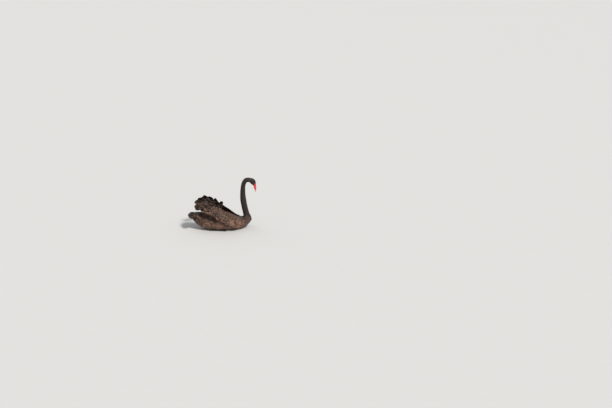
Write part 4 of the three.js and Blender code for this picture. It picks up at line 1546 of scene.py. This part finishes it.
def tube(centres, radii, columns=24, squash=0.92):
    """A closed tube: circles of the radii round the centres, square to the line, a little lower than wide."""
    run = unit(np.gradient(centres, axis=0))
    level = unit(np.cross(run, np.array([0, 0, 1.0])))
    rise = np.cross(level, run)
    angle = (np.arange(columns) * TURN / columns)[None, :, None]
    return (
        centres[:, None]
        + level[:, None] * np.cos(angle) * radii[:, None, None]
        + rise[:, None] * np.sin(angle) * radii[:, None, None] * squash
    )


def scale_material(colours):
    """Dark scaled skin: small cells with paler rims, dull, with dust in the creases."""
    material, tree, shader = surface_material("leg_scales", specular=0.4)
    inputs = {"Vector": on_piece(tree, (-900, 0)), "Scale": 420.0}
    cells = node(tree, "ShaderNodeTexVoronoi", (-700, 0), inputs, feature="DISTANCE_TO_EDGE")
    crease = ramp(tree, cells.outputs["Distance"], 0.02, 0.16, (-450, 0))
    tone = blended(tree, noise(tree, (-700, -300), 60.0), *shades(colours.scales, 0.6, 2.2), (-200, -100))
    tone = blended(tree, crease, (0.06, 0.055, 0.05), tone, (100, 0))
    fed(tree, shader.inputs["Base Color"], tone)
    fed(tree, shader.inputs["Roughness"], ramp(tree, crease, 0.0, 1.0, (100, -200), 0.75, 0.48))
    bumped(tree, shader, crease, 0.6)
    return material


def grained_material(name, roughness, specular, scale, dark, pale):
    """A plain material whose colour drifts between two tones with a cloudy noise."""
    material, tree, shader = surface_material(name, roughness=roughness, specular=specular)
    fed(tree, shader.inputs["Base Color"], blended(tree, noise(tree, (-300, 0), scale), dark, pale, (0, 0)))
    return material


class SWAN_OT_legs(bpy.types.Operator):
    """Make the shanks, the toes with their webs, and the claws, tucked beside the belly"""

    bl_idname = "swan.legs"
    bl_label = "Legs and feet"

    def execute(self, context):
        scales = scale_material(context.scene.swan_colours)
        claw = grained_material("claw_horn", 0.5, 0.3, 300.0, (0.008, 0.008, 0.009), (0.04, 0.036, 0.034))
        for side, word in SIDES:
            shank = solid_piece(f"shank_{word}", [closed_rings(self.shank(side))], scales)
            settled(shank, "leg_scales", f"leg_{word}")
            skin, claws = self.foot(side)
            foot = solid_piece(f"webbed_foot_{word}", skin, scales)
            settled(foot, "leg_scales", f"foot_{word}")
            settled(solid_piece(f"claws_{word}", claws, claw), "leg_scales")
        return {"FINISHED"}

    @staticmethod
    def shank(side):
        """A tube from the flank down to the floor and forward to the ankle, ringed by shallow scutes."""
        t = np.linspace(0, 1, 110)[:, None]
        a = place(side * (FOOT["aside"] - 22), FOOT["heel"] + 34, 40)
        b = place(side * (FOOT["aside"] - 6), FOOT["heel"] - 22, 4)
        c = place(side * FOOT["aside"], FOOT["ankle"] - 2, 6.4)
        centres = a * (1 - t) ** 2 + 2 * b * t * (1 - t) + c * t**2
        share = t[:, 0]
        radii = mix(11, 6.2, np.minimum(1, share * 1.7)) + 0.9 * smooth(0.88, 1, share)
        radii = radii + 0.4 * np.abs(np.sin(share * 62))
        return cut_flat(tube(centres, radii * MM), "foot")

    @staticmethod
    def foot(side):
        """Three toes with joints, the knuckle where they meet, two webs scalloped between them, and claws."""
        ankle = place(side * FOOT["aside"], FOOT["ankle"], 4.6)
        skin, claws, tips = [], [], []
        for step in (-1, 0, 1):
            turn = math.radians(step * FOOT["spread"])
            length = FOOT["toe"] * (1 if step == 0 else 0.9)
            tip = ankle + place(math.sin(-turn) * length * 0.9, math.cos(turn) * length * 0.9, 0)
            share = np.linspace(0, 1, 60)
            radii = mix(5.6, 3.8, share) + 0.9 * np.cos(share * 9.5) ** 6 + 0.3 * np.abs(np.sin(share * 60))
            rings = tube(mix(ankle, tip, share[:, None]), radii * MM)
            skin.append(closed_rings(cut_flat(rings, "foot")))
            nail = np.linspace(0, 1, 18)
            line = tip + unit(tip - ankle) * (nail[:, None] * 0.1 * length - 2.5) * MM
            line[:, 2] = (4.6 + 1.2 * np.sin(nail * np.pi) - 3.4 * nail**2) * MM
            rings = tube(line, (3.4 * np.sqrt(1 - 0.97 * nail**1.5)) * MM * 0.8, 16)
            claws.append(closed_rings(cut_flat(rings, "foot")))
            tips.append(tip)
        way = np.linspace(0.01, 0.99, 24) * np.pi
        rings = tube(ankle + place(0 * way, -10 * np.cos(way) - 1, 2.6), 7.6 * np.sin(way) ** 0.8 * MM)
        skin.append(closed_rings(cut_flat(rings, "foot")))
        for first, second in ((tips[0], tips[1]), (tips[1], tips[2])):
            u, v = np.meshgrid(np.linspace(0.04, 1, 24), np.linspace(0, 1, 20), indexing="ij")
            reach = u * (0.97 - 0.13 * np.sin(np.pi * v))
            top = ankle + (mix(first, second, v[..., None]) - ankle) * reach[..., None]
            bottom = top.copy()
            fold = 0.5 * np.sin(v * 3 * np.pi) * u
            top[..., 2], bottom[..., 2] = (3.4 + fold) * MM, (1.6 + fold) * MM
            skin.append(closed_rings(np.concatenate([top, bottom[:, ::-1]], 1)))
        return skin, claws


class SWAN_OT_stage(bpy.types.Operator):
    """Lay the pale floor, hang the soft lights and set the camera"""

    bl_idname = "swan.stage"
    bl_label = "Stage"

    def execute(self, context):
        scene, colours = context.scene, context.scene.swan_colours
        mesh = bpy.data.meshes.new("floor")
        corners = [(x * FLOOR_REACH, y * FLOOR_REACH, 0) for x, y in ((-1, -1), (1, -1), (1, 1), (-1, 1))]
        mesh.from_pydata(corners, [], [(0, 1, 2, 3)])
        material = grained_material("floor", 0.9, 0.2, 8.0, *shades(colours.floor, 0.99, 1.01))
        new_piece("floor", mesh, material)
        self.light("key", (-3.0, -2.2, 4.2), 12, 3.3, (1.0, 0.97, 0.93))
        self.light("fill", (3.0, 2.4, 3.0), 40, 0.45, (0.94, 0.97, 1.0))
        world = bpy.data.worlds.new("studio")
        world.use_nodes = True
        tree = world.node_tree
        seen = node(tree, "ShaderNodeLightPath", (-400, 200)).outputs["Is Camera Ray"]
        strength = maths(tree, "MULTIPLY_ADD", (-200, 100), seen, 0.36, 0.44)
        fed(tree, tree.nodes["Background"].inputs["Strength"], strength)
        fed(tree, tree.nodes["Background"].inputs["Color"], (0.985, 0.99, 1.0))
        scene.world = world
        self.camera(scene)
        scene.view_settings.view_transform = "Standard"
        return {"FINISHED"}

    @staticmethod
    def light(name, at, breadth, power, colour):
        """A far lamp, soft over its breadth in degrees, that lights bird and floor evenly from its side."""
        lamp = bpy.data.lights.new(name, "SUN")
        lamp.angle, lamp.energy, lamp.color = math.radians(breadth), power, colour
        holder = bpy.data.objects.new(name, lamp)
        holder.location = at
        holder.rotation_euler = (Vector((0, 0, 0.2)) - Vector(at)).to_track_quat("-Z", "Y").to_euler()
        bpy.context.scene.collection.objects.link(holder)

    @staticmethod
    def camera(scene):
        """The photograph's view: from the bird's right, with its middle left of the picture's centre."""
        data = bpy.data.cameras.new("camera")
        data.lens, data.sensor_width, data.sensor_fit = LENS, SENSOR, "HORIZONTAL"
        data.clip_start, data.clip_end = 0.1, 1000.0
        camera = bpy.data.objects.new("camera", data)
        scene.collection.objects.link(camera)
        focal = LENS / SENSOR * FRAME_WIDTH
        left = (FRAME_WIDTH / 2 - BIRD_PIXEL[0]) / focal
        over = (FRAME_HEIGHT / 2 - BIRD_PIXEL[1]) / focal
        target = Vector((0, 0, (DRAUGHT + 228.5) * MM))
        tilt = math.radians(CAMERA_ELEVATION)
        back = Vector((-math.cos(tilt), 0, math.sin(tilt)))
        camera.location = target + back * CAMERA_DISTANCE
        reach = math.sqrt((1 + left**2 + over**2) / (1 + over**2))
        drop = math.asin(reach * math.sin(tilt)) + math.atan(over)
        turn = math.atan2(left, math.cos(drop) + over * math.sin(drop))
        camera.rotation_euler = (math.pi / 2 - drop, 0, -math.pi / 2 - turn)
        scene.camera = camera


class SWAN_PT_panel(bpy.types.Panel):
    """Lists the pieces, the sizes and the colours"""

    bl_idname = "SWAN_PT_panel"
    bl_label = "Black swan"
    bl_space_type = "VIEW_3D"
    bl_region_type = "UI"
    bl_category = "Swan"

    def draw(self, context):
        for group in (context.scene.swan_sizes, context.scene.swan_colours):
            for key in group.__annotations__:
                self.layout.prop(group, key)
        for operator in STEPS:
            self.layout.operator(operator.bl_idname)


STEPS = (
    SWAN_OT_skin,
    SWAN_OT_head_coat,
    SWAN_OT_neck_coat,
    SWAN_OT_body_coat,
    SWAN_OT_wing_coat,
    SWAN_OT_plumes,
    SWAN_OT_primaries,
    SWAN_OT_tail,
    SWAN_OT_bill,
    SWAN_OT_eyes,
    SWAN_OT_legs,
    SWAN_OT_stage,
)
CLASSES = (SwanSizes, SwanColours, *STEPS, SWAN_PT_panel)


def register():
    for made in CLASSES:
        bpy.utils.register_class(made)
    bpy.types.Scene.swan_sizes = PointerProperty(type=SwanSizes)
    bpy.types.Scene.swan_colours = PointerProperty(type=SwanColours)


def unregister():
    del bpy.types.Scene.swan_sizes, bpy.types.Scene.swan_colours
    for made in reversed(CLASSES):
        bpy.utils.unregister_class(made)


def main():
    register()
    for step in STEPS:
        space, name = step.bl_idname.split(".")
        getattr(getattr(bpy.ops, space), name)()


if __name__ == "__main__":
    main()
